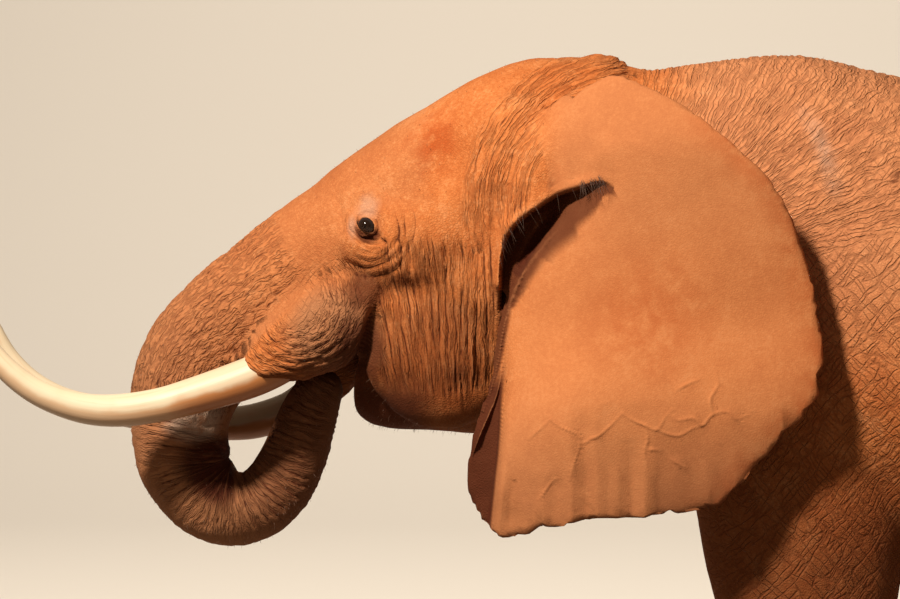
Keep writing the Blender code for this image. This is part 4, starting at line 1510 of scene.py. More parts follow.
def skin_marks(points: Array, normals: Array, anatomy: Anatomy, ear: Array,
               inset: Array) -> dict[str, Array]:
    """Where the skin is rubbed pale, red, tan or bare of dust, and where shade is painted on it.

    Args:
        points: the skin's vertices.
        normals: their normals.
        anatomy: the animal's measurements.
        ear: how surely each vertex is on an ear.
        inset: its distance in from the ear's edge.

    Returns:
        The masks by name.
    """
    x, z = points[:, 0], points[:, 2]
    outer = np.abs(points[:, 1])
    down, radii, _ = anatomy.along_trunk(points)
    in_loop = ramp(z, 1.92, 1.86)
    on_trunk = np.maximum(ramp(radii, 1.45, 1.20), ramp(radii, 2.1, 1.8) * (down > 0.95) * in_loop)
    flank = outer > 0.2
    above_eye = z - EYE_CENTRE[2] - 0.012 + 0.60 * (x - EYE_CENTRE[0])
    rubbed = patch(points, (-1.875, 1.835), (0.150, 0.080)) * on_trunk * ramp(outer, 0.05, 0.12)
    lid = patch(points, (-1.338, 2.530), (0.046, 0.056), 0.7) * flank
    lid *= ramp(above_eye, -0.004, 0.004)
    rim = patch(points, (-1.386, 2.470), (0.022, 0.056), 0.8) * flank
    share, aside = beside(points, ((-0.03, 2.86), (0.03, 2.78), (0.07, 2.67), (0.10, 2.55)), 0.09)
    streak = ramp(np.abs(aside), 0.040, 0.0) * arch(share) * flank
    rubbed = np.maximum.reduce([rubbed, 0.42 * lid, 0.45 * rim, 0.55 * streak])
    temple = patch(points, (-1.135, 2.745), (0.105, 0.150), 0.8) * ramp(outer, 0.10, 0.2)
    temple = np.maximum(temple, 0.55 * ear * ramp(inset, 0.10, 0.01) * ramp(x, -0.45, -0.20))
    temple = np.maximum(temple, 0.50 * ear * patch(points, (-0.46, 2.22), (0.27, 0.26), 0.9))
    tan = ramp(x, -0.50, -0.25) * (1 - ear) * ramp(z, 1.85, 2.45) + 0.35 * ear
    chin = ramp(z, 2.10, 1.92) * ramp(x, -1.46, -1.38) * ramp(x, -1.00, -1.22) * (z > 1.7)
    sheath = patch(points, (-1.45, 2.15), (0.20, 0.20), 0.6) * ramp(outer, 0.12, 0.18)
    bare = np.maximum.reduce([on_trunk * (0.30 + 0.70 * ramp(down, 0.05, 1.15)), sheath,
                              ear * (0.45 * ramp(z, 2.15, 1.65) + 0.20 * ramp(z, 2.30, 2.60))])
    inner_trunk = on_trunk * ramp(down, 1.20, 1.55)
    under = ramp(normals[:, 2], -0.05, -0.70) * (z > 0.3) * (1 - 0.8 * on_trunk)
    below_eye = patch(points, (-1.345, 2.275), (0.10, 0.10), 0.7) * ramp(outer, 0.12, 0.2)
    behind_tusk = patch(points, (-1.36, 2.08), (0.13, 0.17), 0.6) * (outer > 0.05)
    cheek = patch(points, (-1.13, 2.05), (0.26, 0.33), 0.7) * (outer > 0.05)
    low_body = ramp(z, 2.15, 1.45) * (x > -0.45)
    # Round the lower lid: partly the lid's own dark wet skin, partly painted shade beneath the eye.
    dark_lid_and_shade = patch(points, (-1.335, 2.458), (0.047, 0.043), 0.35) * flank
    dark_lid_and_shade *= ramp(above_eye, 0.002, -0.004)
    # Painted shade, drawn towards one dark colour: the chin, the trunk's tip, faces turned
    # downward, below the eye, behind the tusk, the cheek, the lower body, inside the trunk's loop
    # and a little over each ear.
    painted_shade_share = np.maximum.reduce([chin * 0.95, inner_trunk * 0.60, under * 0.60, below_eye * 0.82,
                              behind_tusk * 0.85, cheek * 0.42, low_body * 0.63, dark_lid_and_shade * 0.92,
                              ease(anatomy.bunched(points, 2.1) * 1.6) * in_loop, ear * 0.12])
    # The ears' painted shade joins the rest and takes the bare tone away there.
    canal = anatomy.ears.shade(points)
    painted_shade_share, bare = np.maximum(painted_shade_share, canal), bare * (1 - canal)
    smooth = np.maximum.reduce([
        0.5 * patch(points, (-1.62, 2.24), (0.15, 0.10), 0.7) * (outer > 0.12),
        patch(points, (-1.16, 2.55), (0.16, 0.16), 0.8) * (outer > 0.1),
    ])
    return {"rubbed": rubbed, "temple": temple, "painted_shade_share": painted_shade_share, "smooth": smooth, "bare": bare,
            "tan": tan}


# ---- writing shaders as sums
class Value:
    """One number in a shader, on which sums are written with the usual operators."""

    def __init__(self, sheet: Sheet, source: NodeSocket) -> None:
        """Keeps the sheet that holds the socket, and the socket."""
        self.sheet = sheet
        self.source = source

    def __add__(self, other: Value | float) -> Value:
        """This plus the other."""
        return self.sheet.maths("ADD", self, other)

    __radd__ = __add__

    def __sub__(self, other: Value | float) -> Value:
        """This less the other."""
        return self.sheet.maths("SUBTRACT", self, other)

    def __rsub__(self, other: Value | float) -> Value:
        """The other less this."""
        return self.sheet.maths("SUBTRACT", other, self)

    def __mul__(self, other: Value | float) -> Value:
        """This times the other."""
        return self.sheet.maths("MULTIPLY", self, other)

    __rmul__ = __mul__

    def __truediv__(self, other: Value | float) -> Value:
        """This over the other."""
        return self.sheet.maths("DIVIDE", self, other)

    def __rtruediv__(self, other: Value | float) -> Value:
        """The other over this."""
        return self.sheet.maths("DIVIDE", other, self)

    def at_least(self, other: Value | float) -> Value:
        """The larger of the two."""
        return self.sheet.maths("MAXIMUM", self, other)

    def at_most(self, other: Value | float) -> Value:
        """The smaller of the two."""
        return self.sheet.maths("MINIMUM", self, other)

    def ramp(self, low: float, high: float) -> Value:
        """Rises smoothly from 0 at low to 1 at high, or falls where high is the smaller."""
        share = ((self - low) / (high - low)).at_least(0.0).at_most(1.0)
        return share * share * (3.0 - 2.0 * share)


class Nodes:
    """A node tree that is built in code."""

    def __init__(self, tree: NodeTree) -> None:
        """Keeps the tree."""
        self.tree = tree

    def node(self, kind: str, settings: dict | None = None, inputs: dict | None = None) -> Node:
        """Adds one node.

        Args:
            kind: the node's type.
            settings: its own settings, which are set first.
            inputs: a value or a link for each named or numbered socket.

        Returns:
            The node.
        """
        made = self.tree.nodes.new(kind)
        for key, value in (settings or {}).items():
            setattr(made, key, value)
        for key, value in (inputs or {}).items():
            if isinstance(value, Value):
                value = value.source
            if isinstance(value, NodeSocket):
                self.tree.links.new(value, made.inputs[key])
            else:
                made.inputs[key].default_value = value
        return made

    def number(self, operation: str, *terms: object) -> NodeSocket:
        """One Math node on the terms."""
        made = self.node("ShaderNodeMath", {"operation": operation}, dict(enumerate(terms)))
        return made.outputs[0]

    def combined(self, x: object, y: object, z: object = 0.0) -> NodeSocket:
        """A vector of three numbers."""
        return self.node("ShaderNodeCombineXYZ", None, {0: x, 1: y, 2: z}).outputs[0]

    def vector(self, operation: str, first: object, second: object) -> NodeSocket:
        """One Vector Math node on two vectors, or on a vector and a Scale."""
        terms = {0: first, "Scale" if operation == "SCALE" else 1: second}
        return self.node("ShaderNodeVectorMath", {"operation": operation}, terms).outputs[0]


class Sheet(Nodes):
    """A material and the nodes in it."""

    def __init__(self, name: str) -> None:
        """Starts an empty material of that name."""
        self.material = bpy.data.materials.new(name)
        self.material.use_nodes = True
        super().__init__(self.material.node_tree)
        self.tree.nodes.clear()

    def maths(self, operation: str, *terms: Value | float) -> Value:
        """One Math node on the terms, as a number to write sums with."""
        return Value(self, self.number(operation, *terms))

    def stored(self, name: str) -> Value:
        """The number stored under that name at each vertex."""
        made = self.node("ShaderNodeAttribute", {"attribute_name": name})
        return Value(self, made.outputs["Fac"])

    def place(self) -> NodeSocket:
        """The place on the piece, in metres."""
        return self.node("ShaderNodeTexCoord").outputs["Object"]

    def noise(self, place: NodeSocket, scale: float, detail: float = 2.0,
              rough: float = 0.5) -> Value:
        """Noise from 0 to 1 at that scale.

        Args:
            place: where it is read.
            scale: lumps to a metre.
            detail: how many finer layers it has.
            rough: the share of each finer layer.

        Returns:
            The noise.
        """
        made = self.node("ShaderNodeTexNoise", None,
                         {"Vector": place, "Scale": scale, "Detail": detail, "Roughness": rough})
        return Value(self, made.outputs[0])

    def cells(self, place: NodeSocket, scale: float, flat: bool = False,
              random: float = 1.0) -> Value:
        """Distance from the border of the cell that holds the place, in cells.

        Args:
            place: where it is read.
            scale: cells to a metre.
            flat: whether the cells lie in a plane.
            random: how uneven they are.

        Returns:
            The distance.
        """
        made = self.node("ShaderNodeTexVoronoi",
                         {"feature": "DISTANCE_TO_EDGE",
                          "voronoi_dimensions": "2D" if flat else "3D"},
                         {"Vector": place, "Scale": scale, "Randomness": random})
        return Value(self, made.outputs["Distance"])

    def mix(self, share: Value | float, first: object, second: object) -> NodeSocket:
        """The first colour turning into the second as the share goes from 0 to 1."""
        made = self.node("ShaderNodeMix", {"data_type": "RGBA"}, {0: share, 6: first, 7: second})
        return made.outputs[2]

    def layered(self, base: object, *layers: tuple) -> NodeSocket:
        """The base colour with others laid over it in turn.

        Args:
            base: the colour beneath.
            layers: for each colour laid over it, its share and the colour.

        Returns:
            The colour that shows.
        """
        for share, tone in layers:
            base = self.mix(share, base, tone)
        return base

    def finish(self, settings: dict, height: Value | None = None) -> Material:
        """Adds the surface and the output.

        Args:
            settings: a value or a link for each socket of the surface.
            height: the relief in metres, if it has one.

        Returns:
            The material.
        """
        if height is not None:
            bump = self.node("ShaderNodeBump", None, {"Distance": 1.0, "Height": height})
            settings = {**settings, "Normal": bump.outputs[0]}
        surface = self.node("ShaderNodeBsdfPrincipled", None, settings)
        self.node("ShaderNodeOutputMaterial", None, {"Surface": surface.outputs[0]})
        return self.material


def colour(red: float, green: float, blue: float) -> tuple[float, float, float, float]:
    """An opaque colour, from its linear parts."""
    return (red, green, blue, 1.0)


@dataclass(frozen=True)
class DustedHide:
    """Elephant skin under red earth: netted with fine cracks, with painted shade in its folds and
    shaded parts.
    """

    dust: tuple = colour(0.590, 0.185, 0.050)
    pale_dust: tuple = colour(0.680, 0.270, 0.105)
    deep_dust: tuple = colour(0.430, 0.105, 0.022)
    tan: tuple = colour(0.600, 0.270, 0.130)
    bare: tuple = colour(0.350, 0.152, 0.068)
    # Colour of the shade painted into cracks, creases and hollows.
    painted_crease_shade: tuple = colour(0.075, 0.014, 0.004)
    grey: tuple = colour(0.500, 0.320, 0.215)
    red: tuple = colour(0.400, 0.070, 0.012)
    # Colour that painted shade is drawn towards.
    shade: tuple = colour(0.065, 0.014, 0.005)
    plate: float = 0.022
    pebble: float = 0.0085
    roughness: float = 0.88

    def lines(self, sheet: Sheet, place: NodeSocket, turn: float) -> Value:
        """Distance from the nearest of a family of long lines, at a turn from upright.

        Args:
            sheet: the material.
            place: where it is read.
            turn: the lines' turn in radians.

        Returns:
            The distance.
        """
        turned = sheet.node("ShaderNodeMapping", {"vector_type": "TEXTURE"}, {
            "Vector": place, "Rotation": (0.3, turn, 0.25),
            "Scale": (self.plate, self.plate * 6, self.plate * 6)})
        return sheet.maths("ABSOLUTE", sheet.noise(turned.outputs[0], 1.0, 1.0, 0.5) - 0.5)

    def relief(self, sheet: Sheet, place: NodeSocket) -> tuple[Value, Value]:
        """The height of the skin in metres, and how deep in a crack each place is, which sets
        painted shade.

        Args:
            sheet: the material.
            place: where it is read.

        Returns:
            The height, and the depth in a crack from 0 to 1, for the painted crease shade.
        """
        creased, ear, smooth = (sheet.stored(name) for name in ("creased", "ear", "smooth"))
        netted = sheet.stored("netted")
        body = (1.0 - ear) * (1.0 - 0.75 * smooth)
        wander = sheet.node("ShaderNodeTexNoise", None,
                            {"Vector": place, "Scale": 17.0, "Detail": 2.0})
        shift = sheet.vector("SUBTRACT", wander.outputs["Color"], (0.5, 0.5, 0.5))
        warped = sheet.vector("ADD", place, sheet.vector("SCALE", shift, 0.022))
        steep, flat = (self.lines(sheet, warped, turn) for turn in (0.69, 2.45))
        net = steep.ramp(0.074, 0.0).at_least(flat.ramp(0.064, 0.0) * 0.85)
        pebbles = sheet.cells(warped, 1 / self.pebble)
        sway = Value(sheet, wander.outputs["Fac"])
        across, along = sheet.stored("across"), sheet.stored("along")
        run = sheet.combined(across + sway * 2.2, along)
        ridged = sheet.maths("ABSOLUTE", sheet.noise(run, 1.0, 2.0, 0.5) - 0.5)
        strip_run = sheet.combined(across * 1.8 + sway * 3.0, along * 2.5)
        strips = sheet.cells(strip_run, 1.0, flat=True, random=0.9)

        net_depth = net * netted * body
        groove = ridged.ramp(0.10, 0.0) * creased * body
        strip_depth = strips.ramp(0.30, 0.0) * creased * body
        pebble_depth = pebbles.ramp(0.32, 0.0) * (1.0 - 0.70 * ear) * (1.0 - 0.5 * creased)
        fine = sheet.noise(place, 260.0, 2.0, 0.6)
        depth = net_depth * 0.0030 + groove * 0.0030 + strip_depth * 0.0006 + pebble_depth * 0.0008
        height = (fine - 0.5) * 0.0008 - depth
        # Painted crease shade: darkest at the bottom of the net's cracks, the grooves and the
        # pebbles' borders.
        core = (net_depth * 0.54).at_least(groove * 0.50)
        return height, core.at_least(pebble_depth * 0.22)

    def material(self) -> Material:
        """The finish.

        Returns:
            The material.
        """
        sheet = Sheet("dusted_hide")
        place = sheet.place()
        height, painted_crease_shade = self.relief(sheet, place)
        ear = sheet.stored("ear")
        hollow = sheet.stored("hollow") * (1.0 - 0.70 * ear)
        broad = sheet.noise(place, 3.2, 3.0)
        mottled = sheet.noise(place, 16.0, 4.0, 0.65)
        flecks = sheet.noise(place, 90.0, 3.0, 0.65)
        uneven = (broad * 0.50 + mottled * 0.28 + flecks * 0.45).ramp(0.48, 0.80)
        light = (mottled * 0.45 + broad * 0.25 + flecks * 0.45).ramp(0.58, 0.38) * 0.55
        bare = sheet.stored("bare").at_most(1.0) * (0.60 + mottled * 0.40)
        # Painted shade in hollows, cracks and creases.
        painted_hollow_shade = (hollow.ramp(0.02, 0.85) * 0.90).at_least(painted_crease_shade * 0.75)
        tone = sheet.layered(
            self.dust,
            (uneven * (1.0 - 0.35 * ear), self.deep_dust),
            (light * (1.0 - 0.6 * ear), self.pale_dust),
            (sheet.stored("tan") * 0.45, self.tan),
            (bare, self.bare),
            (sheet.stored("temple") * mottled.ramp(0.30, 0.62) * 0.85, self.red),
            (sheet.stored("rubbed") * mottled.ramp(0.20, 0.55), self.grey),
            # Painted shade from the stored masks.
            (sheet.stored("painted_shade_share"), self.shade),
            (painted_hollow_shade, self.painted_crease_shade),
            # Paler where the skin bulges out.
            (hollow.ramp(-0.15, -1.0) * 0.25, self.pale_dust))
        return sheet.finish({"Base Color": tone, "Roughness": self.roughness,
                             "Specular IOR Level": 0.12}, height)


@dataclass(frozen=True)
class Ivory:
    """Tusk: cream along its back, stained yellow and brown beneath and at the lip."""

    cream: tuple = colour(0.690, 0.540, 0.350)
    stain: tuple = colour(0.540, 0.190, 0.042)
    lip: tuple = colour(0.340, 0.095, 0.018)
    roughness: float = 0.46

    def material(self) -> Material:
        """The finish.

        Returns:
            The material.
        """
        sheet = Sheet("ivory")
        under, root = sheet.stored("under"), sheet.stored("root")
        run = sheet.combined(sheet.stored("around") * 26.0, sheet.stored("down") * 3.0)
        streaks = sheet.noise(run, 1.0, 4.0, 0.62)
        cloud = sheet.noise(sheet.place(), 11.0, 3.0)
        yellow = (under + (cloud - 0.5) * 0.5).ramp(0.0, 0.34) * (root * 0.55 + 0.45)
        low = (under * 1.2 + 0.15).at_most(1.0)
        brown = (root * 1.25 + (cloud - 0.5) * 0.7).ramp(0.55, 1.15) * low * 0.80
        tone = sheet.layered(self.cream, (yellow * 0.92, self.stain),
                             (streaks.ramp(0.48, 0.78) * 0.28, self.stain), (brown, self.lip))
        height = streaks * 0.0007 + cloud * 0.0010
        return sheet.finish({"Base Color": tone, "Roughness": self.roughness,
                             "Specular IOR Level": 0.35}, height)


@dataclass(frozen=True)
class WetEye:
    """Eyeball: a near-black pupil, an amber-brown iris and a dark white, all wet."""

    pupil: tuple = colour(0.002, 0.0015, 0.001)
    iris: tuple = colour(0.014, 0.006, 0.003)
    ray: tuple = colour(0.035, 0.014, 0.006)
    white: tuple = colour(0.022, 0.014, 0.012)

    def material(self) -> Material:
        """The finish.

        Returns:
            The material.
        """
        sheet = Sheet("wet_eye")
        off_axis, turn = sheet.stored("off_axis"), sheet.stored("turn")
        rays = sheet.noise(sheet.combined(turn * 9.0, off_axis * 3.0), 1.0, 3.0)
        bright = rays.ramp(0.5, 0.8) * 0.5 * off_axis.ramp(0.25, 0.45)
        tone = sheet.layered(self.pupil, (off_axis.ramp(0.22, 0.28), self.iris),
                             (bright, self.ray), (off_axis.ramp(0.66, 0.78), self.white))
        return sheet.finish({"Base Color": tone, "Roughness": 0.06, "IOR": 1.34})


@dataclass(frozen=True)
class Horn:
    """Nail: pale horn with fine upright streaks of dusty brown."""

    pale: tuple = colour(0.480, 0.300, 0.180)
    dusty: tuple = colour(0.420, 0.165, 0.070)

    def material(self) -> Material:
        """The finish.

        Returns:
            The material.
        """
        sheet = Sheet("nail_horn")
        streaks = sheet.noise(sheet.vector("MULTIPLY", sheet.place(), (60.0, 60.0, 6.0)), 1.0, 3.0)
        tone = sheet.mix(streaks.ramp(0.35, 0.70), self.pale, self.dusty)
        return sheet.finish({"Base Color": tone, "Roughness": 0.62}, streaks * 0.0009)


@dataclass(frozen=True)
class Hair:
    """Bristle: one colour from root to tip."""

    name: str
    tone: tuple
    roughness: float = 0.55

    def material(self) -> Material:
        """The finish."""
        sheet = Sheet(self.name)
        return sheet.finish({"Base Color": self.tone, "Roughness": self.roughness})


# ---- geometry nodes
class Grower(Nodes):
    """A Geometry Nodes tree with named inputs, run once on a mesh to make a plain mesh."""

    def __init__(self, name: str, inputs: dict[str, tuple[str, object]]) -> None:
        """Starts a tree with named inputs.

        Args:
            name: the tree's name.
            inputs: a socket type and a value for each input.
        """
        super().__init__(bpy.data.node_groups.new(name, "GeometryNodeTree"))
        add = self.tree.interface.new_socket
        add("Geometry", in_out="INPUT", socket_type="NodeSocketGeometry")
        for label, (kind, value) in inputs.items():
            socket = add(label, in_out="INPUT", socket_type=kind)
            if value is not None:
                socket.default_value = value
        add("Geometry", in_out="OUTPUT", socket_type="NodeSocketGeometry")
        self.given = self.tree.nodes.new("NodeGroupInput").outputs

    def stored(self, name: str, kind: str = "FLOAT") -> NodeSocket:
        """What is stored under that name at each point."""
        settings = {"data_type": kind}
        return self.node("GeometryNodeInputNamedAttribute", settings, {"Name": name}).outputs[0]

    def spot(self, name: str) -> NodeSocket:
        """The vector stored under that name at each point."""
        return self.stored(name, "FLOAT_VECTOR")

    def store(self, geometry: NodeSocket, name: str, value: NodeSocket,
              kind: str = "FLOAT", domain: str = "POINT") -> NodeSocket:
        """The geometry with a value stored on it, of that type, for its points or corners."""
        return self.node("GeometryNodeStoreNamedAttribute", {"data_type": kind, "domain": domain},
                         {"Geometry": geometry, "Name": name, "Value": value}).outputs[0]

    def ring(self) -> NodeSocket:
        """A circle of radius 1, with the given number of sides."""
        return self.node("GeometryNodeCurvePrimitiveCircle", None,
                         {"Resolution": self.given["Sides"], "Radius": 1.0}).outputs[0]

    def swept(self, line: NodeSocket, ring: NodeSocket, girth: NodeSocket) -> NodeSocket:
        """Makes a closed body out of a line.

        Args:
            line: the curve that it follows.
            ring: the shape across it.
            girth: its radius along the line.

        Returns:
            The body.
        """
        return self.node("GeometryNodeCurveToMesh", None,
                         {"Curve": line, "Profile Curve": ring, "Scale": girth,
                          "Fill Caps": True}).outputs[0]

    def moved(self, geometry: NodeSocket, place: NodeSocket) -> NodeSocket:
        """The geometry with its points at other places."""
        return self.node("GeometryNodeSetPosition", None,
                         {"Geometry": geometry, "Position": place}).outputs[0]

    def end(self, geometry: NodeSocket) -> None:
        """Closes the tree: instances made real, shaded smooth, and the material set.

        Args:
            geometry: what the tree has made.
        """
        real = self.node("GeometryNodeRealizeInstances", None, {0: geometry}).outputs[0]
        smooth = self.node("GeometryNodeSetShadeSmooth", None, {0: real}).outputs[0]
        dressed = self.node("GeometryNodeSetMaterial", None,
                            {"Geometry": smooth, "Material": self.given["Material"]}).outputs[0]
        self.tree.links.new(dressed, self.tree.nodes.new("NodeGroupOutput").inputs[0])

    def run(self, name: str, seeds: Object, values: dict[str, object]) -> Object:
        """Runs the tree on an object, which is removed.

        Args:
            name: the new piece's name.
            seeds: the mesh that the tree starts from.
            values: a value for each named input that differs from the tree's own.

        Returns:
            A plain mesh object.
        """
        growth = seeds.modifiers.new("growth", "NODES")
        growth.node_group = self.tree
        keys = {item.name: item.identifier for item in self.tree.interface.items_tree}
        for label, value in values.items():
            growth[keys[label]] = value
        graph = bpy.context.evaluated_depsgraph_get()
        mesh = bpy.data.meshes.new_from_object(seeds.evaluated_get(graph))
        bpy.data.objects.remove(seeds)
        mesh.name = name
        return shown(name, mesh)


def seed_points(name: str, points: Array, stored: dict[str, Array]) -> Object:
    """Loose points with numbers or vectors stored at each, for a tree to grow from.

    Args:
        name: the object's name.
        points: the places.
        stored: a number or a vector for each place, by name.

    Returns:
        The object.
    """
    mesh = bpy.data.meshes.new(name)
    mesh.from_pydata(points.tolist(), [], [])
    for key, values in stored.items():
        write_attribute(mesh, key, values)
    return shown(name, mesh)


def sweep_tree() -> Grower:
    """A tree that runs a round section of the stored girth along a line.

    Returns:
        The tree.
    """
    grower = Grower("sweep", {"Sides": ("NodeSocketInt", 40),
                              "Material": ("NodeSocketMaterial", None)})
    line = grower.node("GeometryNodeMeshToCurve", None, {0: grower.given["Geometry"]}).outputs[0]
    grower.end(grower.swept(line, grower.ring(), grower.stored("girth")))
    return grower


def bristle_tree() -> Grower:
    """A tree that grows a tapering, bending bristle from every point.

    Returns:
        The tree.
    """
    grower = Grower("bristles", {
        "Steps": ("NodeSocketInt", 5), "Sides": ("NodeSocketInt", 3),
        "Shortening": ("NodeSocketFloat", 0.35), "Patch": ("NodeSocketFloat", 0.003),
        "Seed": ("NodeSocketInt", 4), "Material": ("NodeSocketMaterial", None)})
    given = grower.given
    line = grower.node("GeometryNodeCurvePrimitiveLine", None,
                       {"Start": (0, 0, 0), "End": (0, 0, 1)}).outputs[0]
    line = grower.node("GeometryNodeResampleCurve", None,
                       {"Curve": line, "Count": given["Steps"]}).outputs[0]
    least = grower.number("SUBTRACT", 1.0, given["Shortening"])
    share = grower.node("FunctionNodeRandomValue", {"data_type": "FLOAT"},
                        {2: least, 3: 1.0, "Seed": given["Seed"]}).outputs[1]
    planted = grower.node("GeometryNodeInstanceOnPoints", None,
                          {"Points": grower.store(given["Geometry"], "share", share),
                           "Instance": line}).outputs[0]
    real = grower.node("GeometryNodeRealizeInstances", None, {0: planted}).outputs[0]
    along = grower.node("GeometryNodeSplineParameter").outputs["Factor"]
    reach = grower.number("MULTIPLY", grower.stored("reach"), grower.stored("share"))
    straight = grower.vector("SCALE", grower.spot("aim"), along)
    bent = grower.vector("SCALE", grower.spot("sag"), grower.number("MULTIPLY", along, along))
    run = grower.vector("SCALE", grower.vector("ADD", straight, bent), reach)
    shaped = grower.moved(real, grower.vector("ADD", grower.spot("foot"), run))
    thinning = grower.number("MULTIPLY", grower.number("POWER", along, 1.6), 0.88)
    taper = grower.number("SUBTRACT", 1.0, thinning)
    girth = grower.number("MULTIPLY", grower.stored("girth"), taper)
    around = grower.node("GeometryNodeSplineParameter").outputs["Factor"]
    ring = grower.store(grower.ring(), "round", around)
    body = grower.swept(grower.store(shaped, "run", along), ring, girth)
    inside = grower.combined(grower.stored("round"), grower.stored("run"))
    inside = grower.vector("SCALE", inside, given["Patch"])
    laid_out = grower.vector("ADD", grower.spot("spot"), inside)
    grower.end(grower.store(body, "OFBake", laid_out, "FLOAT2", "CORNER"))
    return grower


def nail_tree() -> Grower:
    """A tree that stands a rounded, flattened nail at every point, turned as stored there.

    Returns:
        The tree.
    """
    grower = Grower("nails", {"Size": ("NodeSocketVector", (0.018, 0.038, 0.036)),
                              "Squareness": ("NodeSocketFloat", 0.75),
                              "Material": ("NodeSocketMaterial", None)})
    given = grower.given
    ball = grower.node("GeometryNodeMeshUVSphere", None,
                       {"Segments": 28, "Rings": 18, "Radius": 1.0}).outputs["Mesh"]
    place = grower.node("GeometryNodeInputPosition").outputs[0]
    size = grower.vector("ABSOLUTE", place, (0, 0, 0))
    size = grower.vector("POWER", size, grower.combined(*[given["Squareness"]] * 3))
    squared = grower.vector("MULTIPLY", size, grower.vector("SIGN", place, (0, 0, 0)))
    squared = grower.vector("MULTIPLY", squared, given["Size"])
    turn = grower.node("FunctionNodeEulerToRotation", None, {0: grower.spot("turn")}).outputs[0]
    planted = grower.node("GeometryNodeInstanceOnPoints", None,
                          {"Points": given["Geometry"], "Instance": grower.moved(ball, squared),
                           "Rotation": turn}).outputs[0]
    grower.end(planted)
    return grower


# ---- ivory, eyes and nails
@dataclass
class Tusks:
    """The tusks as x, y, z, radius from inside the lip to the tip; the right is carried lower."""

    left: Rows = (
        (-1.520, 0.215, 2.110, 0.063), (-1.600, 0.226, 2.052, 0.064),
        (-1.675, 0.236, 2.012, 0.0645), (-1.753, 0.248, 1.982, 0.063),
        (-1.873, 0.268, 1.945, 0.0575), (-1.985, 0.288, 1.915, 0.053),
        (-2.100, 0.308, 1.899, 0.0515), (-2.205, 0.324, 1.903, 0.048),
        (-2.305, 0.336, 1.930, 0.043), (-2.395, 0.343, 1.976, 0.039),
        (-2.480, 0.345, 2.050, 0.0355), (-2.545, 0.341, 2.140, 0.031),
        (-2.585, 0.332, 2.240, 0.025), (-2.600, 0.320, 2.330, 0.017),
        (-2.600, 0.312, 2.385, 0.007),
    )
    right: Rows = (
        (-1.470, 0.222, 1.985, 0.056), (-1.555, 0.234, 1.905, 0.058),
        (-1.638, 0.244, 1.842, 0.0585), (-1.745, 0.256, 1.803, 0.0575),
        (-1.840, 0.268, 1.790, 0.055), (-1.950, 0.280, 1.789, 0.052),
        (-2.060, 0.298, 1.798, 0.050), (-2.180, 0.315, 1.816, 0.047),
        (-2.300, 0.328, 1.832, 0.043), (-2.410, 0.337, 1.862, 0.039),
        (-2.505, 0.341, 1.918, 0.0345), (-2.580, 0.338, 2.000, 0.029),
        (-2.625, 0.330, 2.095, 0.021), (-2.640, 0.322, 2.165, 0.009),
    )
    lip: float = -1.76
    stained: float = 0.50
    tip_length: float = 0.006
    sides: int = 48

    def line(self, word: str) -> Array:
        """The middle line and girth of one tusk, closed to a round tip.

        Args:
            word: the side.

        Returns:
            Rows of x, y, z and radius.
        """
        rows = smooth_rows(getattr(self, word), 10)
        rows[:, 1] *= SIDES[word]
        ahead = rows[-1, :3] - rows[-2, :3]
        ahead /= np.linalg.norm(ahead)
        tip = [[*(rows[-1, :3] + ahead * self.tip_length * math.sin(turn)),
                rows[-1, 3] * math.cos(turn)] for turn in (0.5, 0.9, 1.2, 1.42, 1.54)]
        return np.vstack([rows, tip])

    def build(self, word: str, grower: Grower, material: Material) -> Object:
        """One tusk.

        Args:
            word: the side.
            grower: the tree that sweeps it.
            material: its finish.

        Returns:
            The piece.
        """
        rows = self.line(word)
        seeds = seed_points("line", rows[:, :3], {"girth": rows[:, 3]})
        seeds.data.edges.add(len(rows) - 1)
        pairs = np.stack([np.arange(len(rows) - 1), np.arange(1, len(rows))], 1)
        seeds.data.edges.foreach_set("vertices", pairs.ravel())
        made = grower.run("ivory_" + word, seeds, {"Sides": self.sides, "Material": material})
        points = points_of(made.data)
        lengths = run_lengths(rows[:, :3])
        nearest = nearest_rows(points, rows[:, :3])
        out = (points - rows[nearest, :3]) / np.maximum(rows[nearest, 3], 0.002)[:, None]
        lip_at = lengths[np.abs(rows[:, 0] - self.lip).argmin()]
        down = lengths[nearest]
        write_attribute(made.data, "under", np.clip(0.16 - out[:, 2], 0, 1) * ramp(down, 1.45, 0.9))
        write_attribute(made.data, "root", ramp(down, lip_at + self.stained, lip_at - 0.02))
        write_attribute(made.data, "around", np.arctan2(out[:, 1], out[:, 2]) / (2 * np.pi))
        write_attribute(made.data, "down", down)
        return made


@dataclass
class Eyes:
    """Both eyeballs, each with a raised cornea over the iris."""

    centre: tuple = EYE_CENTRE
    radius: float = EYE_RADIUS
    gaze: tuple = (-0.30, 0.94, -0.06)
    cornea: float = 0.0012

    def build(self, word: str, material: Material) -> Object:
        """One eyeball.

        Args:
            word: the side.
            material: its finish.

        Returns:
            The piece.
        """
        side = SIDES[word]
        made = blob("eye", (0, 0, 0), (1, 1, 1), columns=48, rows=32)
        made.name = "eyeball_" + word
        points = points_of(made.data)
        gaze = Vector((self.gaze[0], side * self.gaze[1], self.gaze[2])).normalized()
        across = np.array(gaze.cross(Vector((0, 0, 1))).normalized())
        ahead = points @ np.array(gaze)
        off_axis = np.where(ahead > 0, np.sqrt(np.clip(1 - ahead ** 2, 0, 1)), 1.0)
        write_attribute(made.data, "off_axis", off_axis)
        write_attribute(made.data, "turn", np.arctan2(points @ across, points[:, 2]))
        bulge = self.radius + self.cornea * ramp(off_axis, 0.65, 0.35) * (ahead > 0)
        x, y, z = self.centre
        put_points(made.data, points * bulge[:, None] + np.array((x, side * y, z)))
        made.data.materials.append(material)
        made.data.shade_smooth()
        return made


